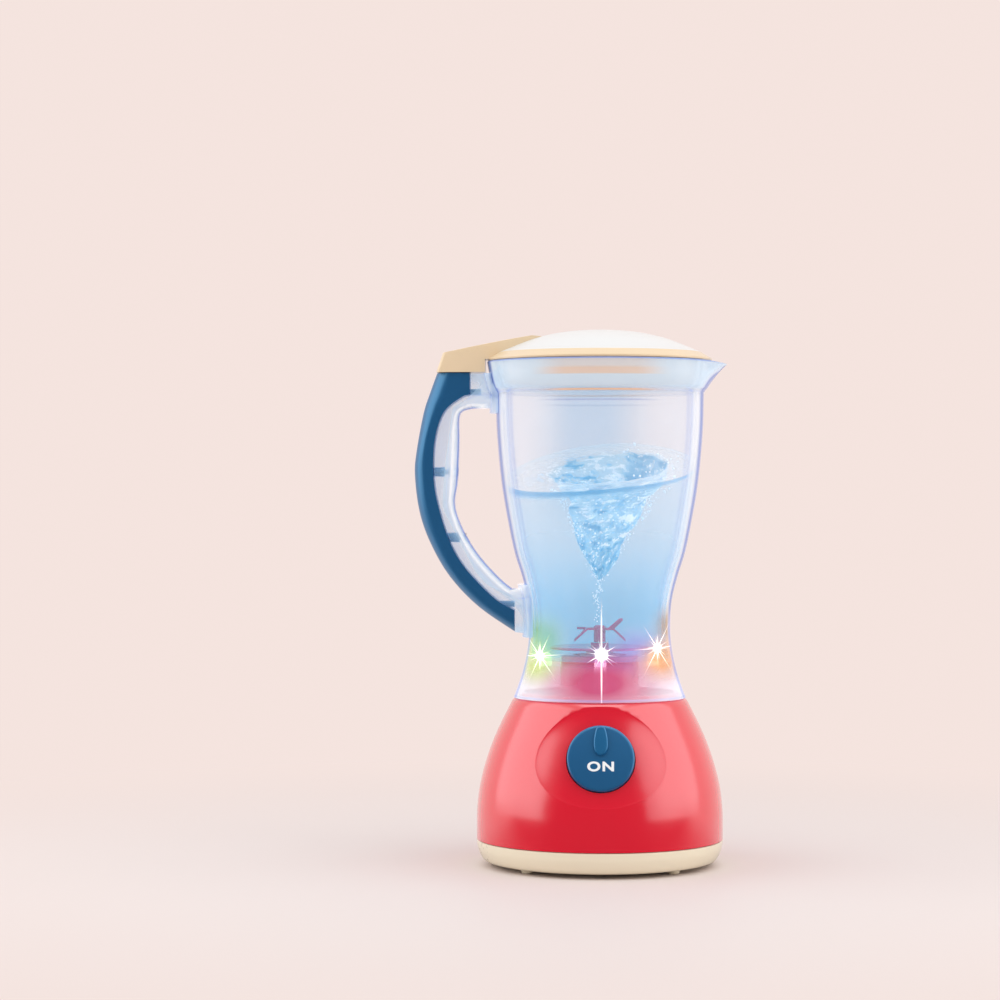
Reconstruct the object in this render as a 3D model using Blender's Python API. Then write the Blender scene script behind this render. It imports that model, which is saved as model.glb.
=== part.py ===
# Toy blender: a clear hourglass jar with a moulded handle on a round red base,
# a sprung front button, battery drive to a four-armed blade, and a domed lid.
# Metres, +Z up. The handle points to -X, the spout to +X and the button to -Y.
import math

import bmesh
import bpy
from mathutils import Matrix

for old_object in list(bpy.data.objects):
    bpy.data.objects.remove(old_object, do_unlink=True)

MM = 0.001

# Fits shared by all pieces
FIT_GAP = 0.3 * MM         # a piece and the piece it seats on or in
RUN_GAP = 0.4 * MM         # a piece and one that turns or slides past it
OVERRUN = 2.0 * MM         # how far a cut runs past the face it starts from
WELD = 0.001 * MM
LARGE_STEPS = 32           # facets round the jar, lid and base
MIDDLE_STEPS = 24
CELL_STEPS = 18
SMALL_STEPS = 10
SCREW_STEPS = 8
SHARP_ANGLE = math.radians(32)

# Base shell, red
BASE_R = 62.1 * MM
BASE_TOP_R = 43.5 * MM
BASE_WALL = 2.2 * MM
SEAM_Z = 13.4 * MM         # joint line between red shell and cream cover
DECK_Z = 84.3 * MM         # shelf that the jar stands on
TURRET_R = 20.0 * MM
TURRET_EDGE = 1.2 * MM
TURRET_FLOOR = 2.0 * MM    # thickness under the coupler recess
RECESS_R = 13.5 * MM
LOCATOR_H = 3.0 * MM       # ring that centres the jar's foot
LOCATOR_WALL = 2.0 * MM
BASE_CURVE_SHARES = ((0.0, 1.0), (0.148, 1.0), (0.251, 0.978), (0.388, 0.909),
                     (0.543, 0.758), (0.697, 0.554), (0.835, 0.317), (1.0, 0.0))
COVER_BOSS_R = 3.8 * MM
COVER_BOSS_SPARE = 9.0 * MM    # boss past the end of its screw
COVER_RIB = 1.8 * MM

# Shallow dish round the button
DISH_SIDE = 18.1 * MM      # past the button's edge, to each side
DISH_ABOVE = 8.3 * MM      # and above and below it
DISH_DEPTH = 3.0 * MM
DISH_LIP = 0.6 * MM        # how far the dish's curve is centred outside the shell

# Bottom cover, cream
COVER_ROUND = 7.1 * MM     # from the flat underside out to the full radius
COVER_WALL = 2.0 * MM
COVER_CURVE_SHARES = ((0.521, 0.108), (0.887, 0.541), (1.0, 1.0))
LIP_H = 3.0 * MM
LIP_WALL = 1.6 * MM
NUB_R = 3.2 * MM
NUB_FLAT_R = 1.9 * MM
NUB_H = 2.0 * MM           # the toy stands on four of these
NUB_INSET = 11.2 * MM      # from the cover's full radius
NUB_CURVE_SHARES = ((0.85, 0.3), (1.0, 0.75))

# Screws
SCREW_R = 1.4 * MM
SCREW_HEAD_R = 3.0 * MM
SCREW_HEAD = 1.7 * MM
COVER_SCREW_INSET = 12.1 * MM  # from the cover's full radius
COVER_SCREW_LENGTH = 16.0 * MM
COVER_SCREW_SEAT = 9.0 * MM    # ceiling of the counterbore
SMALL_SCREW_R = 1.0 * MM
SMALL_HEAD_R = 2.3 * MM
SMALL_HEAD = 1.3 * MM

# Battery compartment and its door
CELL_R = 7.1 * MM
CELL_LENGTH = 49.2 * MM
CELL_NUB_R = 2.7 * MM
CELL_NUB = 1.3 * MM
CELL_GAP = 0.6 * MM
CELL_COUNT = 3
CONTACT_ROOM = 7.5 * MM    # length of the bay past a cell
BAY_PLAY = 3.6 * MM        # width of the bay past its cells
BAY_WALL = 1.6 * MM
BAY_HEADROOM = 1.0 * MM
DOOR_THICKNESS = 1.9 * MM
DOOR_LEDGE = 2.0 * MM      # the rim of the bay that the door rests against
DOOR_EAR = 8.0 * MM        # end of the door that takes its screw
DOOR_FRAME = 2.0 * MM      # wall round the door's recess
DOOR_FRAME_H = 3.5 * MM
DOOR_BOSS_H = 9.0 * MM
DOOR_BOSS_R = 3.0 * MM
CONTACT_THICKNESS = 0.5 * MM
CONTACT_HEIGHT = 12.0 * MM
CONTACT_BUMP_R = 3.6 * MM
CONTACT_TIP_R = 1.6 * MM

# Button, navy, and its switch
BUTTON_HEIGHT_SHARE = 0.64  # of the shell's height, from seam to deck
BUTTON_TILT = math.radians(19)
BUTTON_R = 16.5 * MM
BUTTON_PROUD = 0.2 * MM    # edge of the face above the shell's own surface
BUTTON_CROWN = 0.9 * MM
BUTTON_EDGE = 0.8 * MM
CROWN_SHARE = 0.75         # of the crown's height, half way out
BUTTON_WALL = 1.6 * MM
BUTTON_TRAVEL = 2.5 * MM
BUTTON_FLANGE = 2.0 * MM   # how far the retaining flange stands out
SLEEVE_WALL = 2.4 * MM
SLEEVE_DEPTH = 11.0 * MM
STEM_R = 2.2 * MM
STEM_DEPTH = 15.0 * MM
PLUNGER_R = 1.5 * MM
SWITCH_SIDE = 12.0 * MM
SWITCH_H = 7.0 * MM
BOARD_THICKNESS = 1.6 * MM
SWITCH_BOARD_WIDTH = 16.0 * MM
SWITCH_BOARD_END = 4.0 * MM    # board past its screws
SWITCH_POST_STAND = 6.5 * MM   # posts out from the button's edge
SWITCH_POST_R = 2.9 * MM
RIB_LENGTH = 14.5 * MM     # raised finger rib on the button
RIB_WIDTH = 7.0 * MM
RIB_HEIGHT = 1.4 * MM
RIB_ROUND = 0.8 * MM
RIB_OUTLINE_SHARES = ((0.0, 0.0), (0.36, 0.022), (0.7, 0.095), (0.94, 0.24), (1.0, 0.41),
                      (0.93, 0.62), (0.76, 0.82), (0.52, 0.96), (0.0, 1.0))

# Jar, clear
JAR_SETBACK = 0.1 * MM     # foot inside the deck's edge
JAR_WAIST_R = 35.6 * MM
JAR_MOUTH_R = 52.5 * MM
RIM_FLARE = 4.4 * MM
JAR_WALL = 2.0 * MM
JAR_FLOOR = 2.0 * MM
JAR_HEIGHT = 169.4 * MM
JAR_FLOOR_HEIGHT = 24.0 * MM   # top of the floor above the foot
JAR_WAIST_HEIGHT = 36.7 * MM
JAR_SHOULDER_DROP = 16.0 * MM  # below the rim
JAR_BEAD = 0.8 * MM        # step out where the rim's flare starts
JAR_BEAD_H = 1.4 * MM
JAR_PLAY = 0.5 * MM
RIM_FLARE_SHARES = ((0.25, 0.11), (0.6, 0.42), (0.85, 0.78), (1.0, 1.0))
FOOT_CURVE_SHARES = ((0.0, 1.0), (0.136, 0.756), (0.335, 0.449),
                     (0.567, 0.192), (0.8, 0.038), (1.0, 0.0))
BELL_CURVE_SHARES = ((0.104, 0.047), (0.208, 0.219), (0.313, 0.444),
                     (0.458, 0.651), (0.626, 0.84), (0.835, 0.97), (1.0, 1.0))
SPOUT_LENGTH = 7.6 * MM    # out from the rim
SPOUT_HALF_ANGLE = math.radians(24)
SPOUT_DIP = 1.2 * MM       # the tip below the rim
SPOUT_SHARPNESS = 1.6      # power of the beak's fall to its sides
SPOUT_SCOOP = 1.7          # power of its fall to the shoulder

# Blade carrier and drive
CARRIER_R = 25.0 * MM
CARRIER_FLANGE = 1.3 * MM
CARRIER_NECK_R = 7.0 * MM
CARRIER_BOSS_R = 4.6 * MM
CARRIER_BOSS_H = 1.8 * MM
NUT_R = 10.0 * MM
NUT_H = 2.2 * MM
SHAFT_R = 1.5 * MM
COUPLER_R = 11.0 * MM
DRIVEN_DISC = 1.6 * MM
DRIVE_DISC = 3.0 * MM
DOG_H = 3.0 * MM
DOG_INNER_R = 4.5 * MM
DOG_COUNT = 3
DOG_SPREAD = math.radians(44)   # arc that each dog covers
MOTOR_R = 10.0 * MM
MOTOR_LENGTH = 25.0 * MM
MOTOR_NOSE_R = 3.0 * MM
MOTOR_SHAFT_R = 1.0 * MM
HOLDER_WALL = 2.0 * MM
HOLDER_RIM = 5.0 * MM      # holder past its screws
POST_PLACE = 24.0 * MM
POST_R = 3.4 * MM
LIGHT_DROP = 7.8 * MM      # board's posts below the deck's underside
LIGHT_BOARD_RIM = 5.4 * MM     # board past its lamps
LIGHT_BOARD_HOLE_R = 12.8 * MM
PIPE_R = 3.0 * MM
PIPE_FLANGE = 1.2 * MM
LED_R = 2.5 * MM
LED_FLANGE = 1.0 * MM
ROUND_TIP_SHARES = ((1.0, 0.8), (0.85, 0.35), (0.45, 0.08), (0.0, 0.0))

# Blade, crimson, four arms
BLADE_REACH = 13.0 * MM
BLADE_BEND = 6.6 * MM      # where the arms bend
BLADE_WIDTH = 4.6 * MM
BLADE_THICKNESS = 1.2 * MM
BLADE_HEIGHT = 11.0 * MM   # above the jar's floor
BLADE_DROP = 5.8 * MM
BLADE_RISE = 5.0 * MM
BLADE_HUB_R = 3.0 * MM
BLADE_CAP_SHARE = 0.6
BLADE_TIP_SHARE = 0.62     # width at the tip
DROP_ANGLES = (8, 188)     # degrees round the hub, arms bent down
RISE_ANGLE = 325           # the arm bent up
LEVEL_ANGLE = 145          # and the straight one

# Handle: clear frame inside, navy grip outside
HANDLE_STAND = 41.0 * MM   # reach past the jar's mouth
HANDLE_FOOT_HEIGHT = 33.0 * MM # above the jar's foot
HANDLE_TOP_DROP = 5.9 * MM     # below the jar's rim
GRIP_WIDTH = 20.0 * MM
GRIP_ROUND = 4.5 * MM
FRAME_WIDTH = 15.0 * MM
FRAME_ROUND = 2.4 * MM
ARM_DEPTH = 17.4 * MM
LOWER_ARM_DEPTH = 21.4 * MM
LOWER_ARM_FALL = 2.9 * MM
GRIP_OUTER_SHARES = ((0.805, 1.0), (0.866, 0.925), (0.923, 0.847), (0.985, 0.698),
                     (1.0, 0.605), (0.96, 0.466), (0.866, 0.345), (0.696, 0.214),
                     (0.445, 0.097), (0.128, 0.0))
GRIP_INNER_SHARES = ((0.128, 0.084), (0.286, 0.125), (0.446, 0.192), (0.587, 0.266),
                     (0.696, 0.355), (0.78, 0.47), (0.829, 0.587), (0.821, 0.736),
                     (0.742, 0.848), (0.585, 0.907), (0.516, 0.916))
FINGER_SHARES = ((0.149, 0.166), (0.249, 0.202), (0.409, 0.278), (0.53, 0.355),
                 (0.619, 0.438), (0.65, 0.504), (0.624, 0.588), (0.611, 0.737),
                 (0.612, 0.821), (0.583, 0.852), (0.485, 0.864))
PAD_THICKNESS = 3.0 * MM   # saddles where the frame meets the jar
PAD_HALF_WIDTH = 13.0 * MM
PAD_MARGIN = 2.5 * MM
PEG_R = 1.4 * MM
PEG_LENGTH = 5.3 * MM
BOSS_R = 2.2 * MM
UPPER_PEG_DROP = 9.5 * MM
UPPER_BOSS_SHARE = 0.618   # of the handle's height
LOWER_BOSS_SHARE = 0.364
LOWER_PEG_RISE = 13.9 * MM
GRIP_SCREW_LENGTH = 6.0 * MM
GRIP_SCREW_SEAT = 2.0 * MM # wall between a boss's end and the screw's head

# Lid, cream
DOME_HEIGHT = 11.6 * MM
LID_SETBACK = 0.3 * MM     # edge inside the jar's rim
LID_BAND = 5.1 * MM        # steeper rim outside the dome, its width and height
LID_BAND_HEIGHT = 4.1 * MM
LID_WALL = 2.0 * MM
SKIRT_DEPTH = 10.8 * MM
DOME_SHARES = ((0.0, 1.0), (0.233, 0.957), (0.466, 0.819), (0.689, 0.56),
               (0.911, 0.164), (1.0, 0.0))
TAB_LEAN = 3.3 * MM        # its end face, top behind foot
TAB_HEIGHT = 9.7 * MM
TAB_WIDTH = 22.0 * MM
TAB_ROUND = 2.4 * MM
TAB_END_SHARE = 0.524      # of the dome's radius, where the tab's back runs out
TAB_BACK_SHARES = ((0.22, 0.27), (0.44, 0.52), (0.66, 0.76), (0.86, 0.95))
TAB_WALL = 2.2 * MM
TAB_BURIED_SHARE = 0.8     # of the lid's wall, where the tab sinks into the dome

# Places worked out from the sizes above
jar_foot_r = BASE_TOP_R - JAR_SETBACK
jar_foot_z = DECK_Z + FIT_GAP
floor_z = jar_foot_z + JAR_FLOOR_HEIGHT
waist_z = jar_foot_z + JAR_WAIST_HEIGHT
rim_z = jar_foot_z + JAR_HEIGHT
shoulder_z = rim_z - JAR_SHOULDER_DROP
rim_r = JAR_MOUTH_R + RIM_FLARE
spout_reach = rim_r + SPOUT_LENGTH
handle_reach = JAR_MOUTH_R + HANDLE_STAND
handle_foot_z = jar_foot_z + HANDLE_FOOT_HEIGHT
handle_top_z = rim_z - HANDLE_TOP_DROP
axis_x = (handle_reach - spout_reach) / 2
floor_under = floor_z - JAR_FLOOR
nut_bottom = floor_under - FIT_GAP - NUT_H
driven_top = nut_bottom - RUN_GAP
driven_bottom = driven_top - DRIVEN_DISC
drive_top = driven_bottom - FIT_GAP - DOG_H
drive_bottom = drive_top - DRIVE_DISC
recess_floor = drive_bottom - RUN_GAP
turret_top = floor_under - 2 * RUN_GAP
motor_top = recess_floor - TURRET_FLOOR - FIT_GAP
motor_bottom = motor_top - MOTOR_LENGTH
deck_under = DECK_Z - BASE_WALL
light_board_z = deck_under - LIGHT_DROP
blade_top_z = floor_z + BLADE_HEIGHT
lid_rim_z = rim_z + FIT_GAP
lid_r = rim_r - LID_SETBACK
crease_r = lid_r - LID_BAND
crease_z = lid_rim_z + LID_BAND_HEIGHT
shaft_hole_r = SHAFT_R + FIT_GAP
cover_screw_place = BASE_R - COVER_SCREW_INSET
cover_boss_top = COVER_SCREW_SEAT + COVER_SCREW_LENGTH + COVER_BOSS_SPARE
button_z = SEAM_Z + (DECK_Z - SEAM_Z) * BUTTON_HEIGHT_SHARE
switch_post_place = BUTTON_R + SWITCH_POST_STAND

FINISHES = {
    "red_plastic": ((0.72, 0.0, 0.03, 1), 0.16, 0.0, 1.0),
    "cream_plastic": ((0.89, 0.75, 0.55, 1), 0.28, 0.0, 1.0),
    "navy_plastic": ((0.0, 0.07, 0.19, 1), 0.22, 0.0, 1.0),
    "clear_plastic": ((0.78, 0.84, 0.97, 1), 0.06, 0.0, 0.35),
    "crimson_plastic": ((0.5, 0.01, 0.1, 1), 0.3, 0.0, 1.0),
    "white_plastic": ((0.85, 0.85, 0.83, 1), 0.4, 0.0, 1.0),
    "dark_plastic": ((0.03, 0.03, 0.035, 1), 0.45, 0.0, 1.0),
    "green_board": ((0.02, 0.22, 0.08, 1), 0.5, 0.0, 1.0),
    "steel": ((0.6, 0.6, 0.62, 1), 0.3, 1.0, 1.0),
    "cell_jacket": ((0.12, 0.12, 0.14, 1), 0.35, 0.0, 1.0),
}


def finish(name, kind):
    """A sub-part's own Principled material."""
    colour, roughness, metallic, alpha = FINISHES[kind]
    material = bpy.data.materials.new(name)
    material.use_nodes = True
    shader = material.node_tree.nodes["Principled BSDF"]
    shader.inputs["Base Color"].default_value = colour
    shader.inputs["Roughness"].default_value = roughness
    shader.inputs["Metallic"].default_value = metallic
    shader.inputs["Alpha"].default_value = alpha
    material.diffuse_color = colour[:3] + (alpha,)
    return material


def smooth_line(points, steps):
    """Points on a Catmull-Rom curve through the given ones."""
    padded = [points[0]] + list(points) + [points[-1]]
    line = []
    for i in range(len(points) - 1):
        p0, p1, p2, p3 = padded[i:i + 4]
        for k in range(steps):
            t = k / steps
            line.append(tuple(
                0.5 * (2 * b + (c - a) * t + (2 * a - 5 * b + 4 * c - d) * t * t
                       + (3 * b - a - 3 * c + d) * t ** 3)
                for a, b, c, d in zip(p0, p1, p2, p3)))
    line.append(tuple(points[-1]))
    return line


def offset_line(line, distance):
    """The line moved to its right by the distance, which is outward on an upward profile."""
    moved = []
    for i, point in enumerate(line):
        before = line[max(i - 1, 0)]
        after = line[min(i + 1, len(line) - 1)]
        back = (point[0] - before[0], point[1] - before[1])
        ahead = (after[0] - point[0], after[1] - point[1])
        normals = []
        for run, rise in (back, ahead):
            length = math.hypot(run, rise)
            if length > WELD:
                normals.append((rise / length, -run / length))
        across = sum(n[0] for n in normals) / len(normals)
        along = sum(n[1] for n in normals) / len(normals)
        scale = distance / (across * across + along * along)
        moved.append((point[0] + across * scale, point[1] + along * scale))
    return moved


def radius_at(line, height):
    """The profile's radius at a height."""
    for (r0, z0), (r1, z1) in zip(line, line[1:]):
        if min(z0, z1) <= height <= max(z0, z1) and z0 != z1:
            return r0 + (r1 - r0) * (height - z0) / (z1 - z0)
    return line[0][0] if height < line[0][1] else line[-1][0]


def height_at(line, radius):
    """The profile's height at a radius."""
    return radius_at([(z, r) for r, z in line], radius)


def cut_above(line, height):
    """The part of an upward profile at and above a height."""
    return [(radius_at(line, height), height)] + [p for p in line if p[1] > height + WELD]


def cut_below(line, height):
    """The part of an upward profile at and below a height."""
    return [p for p in line if p[1] < height - WELD] + [(radius_at(line, height), height)]


def lathe(outline, steps=LARGE_STEPS):
    """A solid turned about Z from an outline of radius and height."""
    bm = bmesh.new()
    verts = [bm.verts.new((radius, 0, height)) for radius, height in outline]
    edges = [bm.edges.new(pair) for pair in zip(verts, verts[1:])]
    if outline[0][0] > 0 or outline[-1][0] > 0:
        edges.append(bm.edges.new((verts[-1], verts[0])))
    bmesh.ops.spin(bm, geom=verts + edges, axis=(0, 0, 1), cent=(0, 0, 0),
                   angle=math.tau, steps=steps, use_merge=True)
    bmesh.ops.remove_doubles(bm, verts=bm.verts, dist=WELD)
    bmesh.ops.dissolve_degenerate(bm, edges=bm.edges, dist=WELD)
    bmesh.ops.recalc_face_normals(bm, faces=bm.faces)
    return bm


def rod(radius, bottom, top, place=(0, 0), steps=SMALL_STEPS, end_radius=None):
    """A round bar along Z."""
    bm = bmesh.new()
    middle = Matrix.Translation((place[0], place[1], (bottom + top) / 2))
    middle @= Matrix.Rotation(math.pi / steps, 4, "Z")
    bmesh.ops.create_cone(bm, cap_ends=True, segments=steps, radius1=radius,
                          radius2=radius if end_radius is None else end_radius,
                          depth=top - bottom, matrix=middle)
    return bm


def block(low, high):
    """A box from its lowest to its highest corner."""
    bm = bmesh.new()
    size = [h - l for l, h in zip(low, high)]
    middle = [(h + l) / 2 for l, h in zip(low, high)]
    place = Matrix.Translation(middle) @ Matrix.Diagonal((*size, 1))
    bmesh.ops.create_cube(bm, size=1, matrix=place)
    return bm


def slab(outline, width):
    """An outline of x and z, extruded along Y to both sides of the middle."""
    bm = bmesh.new()
    face = bm.faces.new([bm.verts.new((x, -width / 2, z)) for x, z in outline])
    grown = bmesh.ops.extrude_face_region(bm, geom=[face])
    moved = [v for v in grown["geom"] if isinstance(v, bmesh.types.BMVert)]
    bmesh.ops.translate(bm, verts=moved, vec=(0, width, 0))
    bmesh.ops.recalc_face_normals(bm, faces=bm.faces)
    return bm


def round_sides(bm, width, radius, segments, chosen):
    """Round a slab's side edges that run between the chosen points of its outline."""
    half = width / 2 - WELD
    edges = []
    for edge in bm.edges:
        on_one_side = edge.verts[0].co.y * edge.verts[1].co.y > half * half
        if on_one_side and all(any(math.dist((v.co.x, v.co.z), point) < WELD for point in chosen)
                               for v in edge.verts):
            edges.append(edge)
    bmesh.ops.bevel(bm, geom=edges, offset=radius, offset_type="OFFSET",
                    segments=segments, profile=0.5, affect="EDGES", clamp_overlap=True)


def turned_by(bm, matrix):
    bmesh.ops.transform(bm, matrix=matrix, verts=bm.verts)
    return bm


def solid(bm, name="tool"):
    """The bmesh as an object of the scene."""
    mesh = bpy.data.meshes.new(name)
    bm.to_mesh(mesh)
    bm.free()
    made = bpy.data.objects.new(name, mesh)
    bpy.context.scene.collection.objects.link(made)
    return made


def combine(body, bm, operation, solver="EXACT"):
    """Join a tool to the body, cut it away, or keep what both share."""
    tool = solid(bm)
    modifier = body.modifiers.new("shape", "BOOLEAN")
    modifier.operation = operation
    modifier.solver = solver
    modifier.object = tool
    graph = bpy.context.evaluated_depsgraph_get()
    shaped = bpy.data.meshes.new_from_object(body.evaluated_get(graph))
    body.modifiers.clear()
    body.data = shaped
    bpy.data.objects.remove(tool, do_unlink=True)
    return body


def cut(body, bm):
    return combine(body, bm, "DIFFERENCE")


def join(body, bm, solver="EXACT"):
    return combine(body, bm, "UNION", solver)


def as_tool(body):
    """The finished shape of an object as a bmesh, and the object gone."""
    bm = bmesh.new()
    bm.from_mesh(body.data)
    bpy.data.objects.remove(body, do_unlink=True)
    return bm


def empty(name, place, parent=None, rotation=(0, 0, 0)):
    made = bpy.data.objects.new(name, None)
    made.location = place
    made.rotation_euler = rotation
    made.parent = parent
    made.empty_display_size = NUB_R
    bpy.context.scene.collection.objects.link(made)
    return made


stand = empty("blender_axis", (axis_x, 0, 0))


def place(body, name, kind, parent=stand, smooth=True):
    """Name a finished sub-part, give it its material and hang it on its parent."""
    body.name = name
    body.data.name = name
    body.data.materials.clear()
    body.data.materials.append(finish(name, kind))
    if smooth:
        body.data.shade_smooth()
        body.data.set_sharp_from_angle(angle=SHARP_ANGLE)
    body.parent = parent
    return body


# Profiles that several pieces follow
def between(start, end, share):
    return start + (end - start) * share


base_line = [(between(BASE_TOP_R, BASE_R, w), between(SEAM_Z, DECK_Z, h))
             for h, w in BASE_CURVE_SHARES]
jar_line = [(between(JAR_WAIST_R, jar_foot_r, w), between(jar_foot_z, waist_z, h))
            for h, w in FOOT_CURVE_SHARES]
jar_line += [(between(JAR_WAIST_R, JAR_MOUTH_R, w), between(waist_z, shoulder_z, h))
             for h, w in BELL_CURVE_SHARES]
flare_start = (JAR_MOUTH_R + JAR_BEAD, shoulder_z + JAR_BEAD_H)
jar_line.append(flare_start)
jar_line += [(between(flare_start[0], rim_r, w), between(flare_start[1], rim_z, h))
             for h, w in RIM_FLARE_SHARES]
jar_inner = offset_line(jar_line, -JAR_WALL)
jar_inner = jar_inner[:1] + jar_inner[1:-6:2] + jar_inner[-6:]
dome_line = [(crease_r * w, crease_z + DOME_HEIGHT * h) for w, h in DOME_SHARES]
locator_r = radius_at(jar_inner, DECK_Z + LOCATOR_H) - JAR_PLAY
pipe_top = floor_under - RUN_GAP
pipe_place = radius_at(jar_inner, pipe_top) - PIPE_R - JAR_PLAY
light_board_r = pipe_place + LIGHT_BOARD_RIM


def round_z(angle):
    return Matrix.Rotation(angle, 4, "Z")


def on_circle(radius, angle):
    return (radius * math.cos(angle), radius * math.sin(angle))


post_angles = [math.radians(90) + math.tau * i / 3 for i in range(3)]
light_angles = [math.radians(270) + math.tau * i / 3 for i in range(3)]
screw_angles = [math.tau * i / 4 for i in range(4)]

# The button's own frame: z out of the shell, y up along its slope
button_face_r = radius_at(base_line, button_z)
button_turn = (math.radians(90) - BUTTON_TILT, 0, 0)
button_place = (0, -button_face_r, button_z)
button_frame = Matrix.Translation(button_place) @ Matrix.Rotation(button_turn[0], 4, "X")
switch_top = -(STEM_DEPTH + BUTTON_TRAVEL + 2 * FIT_GAP)
board_face = switch_top - SWITCH_H


def dish(growth):
    """A lens that follows the shell's surface, grown all round by a thickness."""
    bm = bmesh.new()
    bmesh.ops.create_uvsphere(bm, u_segments=26, v_segments=8, radius=1)
    for vert in bm.verts:
        across = vert.co.x * (BUTTON_R + DISH_SIDE + growth) / button_face_r
        height = button_z + vert.co.y * (BUTTON_R + DISH_ABOVE + growth)
        depth = DISH_LIP + vert.co.z * (DISH_DEPTH + DISH_LIP + growth)
        radius = radius_at(base_line, height) + depth
        vert.co = (radius * math.sin(across), -radius * math.cos(across), height)
    bmesh.ops.triangulate(bm, faces=bm.faces)
    return bm


def make_base_shell():
    """Red shell: body, deck, jar locator, turret, dish, button sleeve and screw bosses."""
    ring_in = locator_r - LOCATOR_WALL
    outline = [(0, SEAM_Z)] + base_line
    outline += [(locator_r, DECK_Z), (locator_r, DECK_Z + LOCATOR_H),
                (ring_in, DECK_Z + LOCATOR_H), (ring_in, DECK_Z),
                (TURRET_R, DECK_Z), (TURRET_R, turret_top - TURRET_EDGE),
                (TURRET_R - TURRET_EDGE, turret_top), (RECESS_R, turret_top),
                (RECESS_R, recess_floor), (0, recess_floor)]
    shell = solid(lathe(outline))
    cut(shell, dish(0))

    inner = cut_below(offset_line(base_line, -BASE_WALL), deck_under)
    inner[0] = (inner[0][0], SEAM_Z - OVERRUN)
    turret_in = TURRET_R - BASE_WALL
    hollow = [(0, SEAM_Z - OVERRUN)] + inner
    hollow += [(turret_in, deck_under), (turret_in, recess_floor - TURRET_FLOOR),
               (0, recess_floor - TURRET_FLOOR)]
    cavity = solid(lathe(hollow))
    cut(cavity, dish(BASE_WALL))
    sleeve = rod(BUTTON_R + RUN_GAP + SLEEVE_WALL, -SLEEVE_DEPTH, SLEEVE_DEPTH,
                 steps=MIDDLE_STEPS)
    cut(cavity, turned_by(sleeve, button_frame))
    for side in (-1, 1):
        post = rod(SWITCH_POST_R, board_face, 0, (side * switch_post_place, 0))
        cut(cavity, turned_by(post, button_frame))
    for angle in screw_angles:
        boss = rod(COVER_BOSS_R, SEAM_Z - 2 * OVERRUN, cover_boss_top, (cover_screw_place, 0))
        cut(cavity, turned_by(boss, round_z(angle)))
        rib = block((cover_screw_place, -COVER_RIB / 2, SEAM_Z - 2 * OVERRUN),
                    (BASE_R, COVER_RIB / 2, cover_boss_top - COVER_BOSS_R))
        cut(cavity, turned_by(rib, round_z(angle)))
    for angle in post_angles:
        cut(cavity, rod(POST_R, light_board_z, DECK_Z, on_circle(POST_PLACE, angle)))
    cut(shell, as_tool(cavity))

    hole = rod(BUTTON_R + RUN_GAP, -SLEEVE_DEPTH - OVERRUN, SLEEVE_DEPTH, steps=MIDDLE_STEPS)
    cut(shell, turned_by(hole, button_frame))
    for side in (-1, 1):
        pilot = rod(SMALL_SCREW_R + FIT_GAP, board_face - OVERRUN,
                    board_face + SWITCH_H, (side * switch_post_place, 0))
        cut(shell, turned_by(pilot, button_frame))
    for angle in screw_angles:
        pilot = rod(SCREW_R + FIT_GAP, SEAM_Z - OVERRUN,
                    COVER_SCREW_SEAT + COVER_SCREW_LENGTH + FIT_GAP,
                    on_circle(cover_screw_place, angle))
        cut(shell, pilot)
    for angle in post_angles:
        cut(shell, rod(SMALL_SCREW_R + FIT_GAP, light_board_z - OVERRUN,
                       deck_under - SMALL_SCREW_R, on_circle(POST_PLACE, angle)))
    for angle in light_angles:
        cut(shell, rod(PIPE_R + FIT_GAP, deck_under - OVERRUN, DECK_Z + OVERRUN,
                       on_circle(pipe_place, angle)))
    cut(shell, rod(MOTOR_NOSE_R + FIT_GAP, recess_floor - TURRET_FLOOR - OVERRUN,
                   recess_floor + OVERRUN))
    place(shell, "base_shell", "red_plastic")


# Battery bay, along X, its door flush with the cover's underside
door_top = NUB_H + DOOR_THICKNESS
ledge_z = door_top + FIT_GAP
cell_z = door_top + FIT_GAP + CELL_R
bay_top = cell_z + CELL_R + BAY_HEADROOM
cell_pitch = 2 * CELL_R + CELL_GAP
bay_x = (CELL_LENGTH + CELL_NUB + CONTACT_ROOM) / 2
bay_y = (CELL_COUNT * cell_pitch + BAY_PLAY) / 2
recess_low_x = -(bay_x + DOOR_LEDGE)
recess_high_x = bay_x + DOOR_LEDGE + DOOR_EAR
recess_y = bay_y + DOOR_LEDGE
door_screw_x = recess_high_x - DOOR_EAR / 2
door_screw_seat = NUB_H + SMALL_HEAD + FIT_GAP / 2


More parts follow.
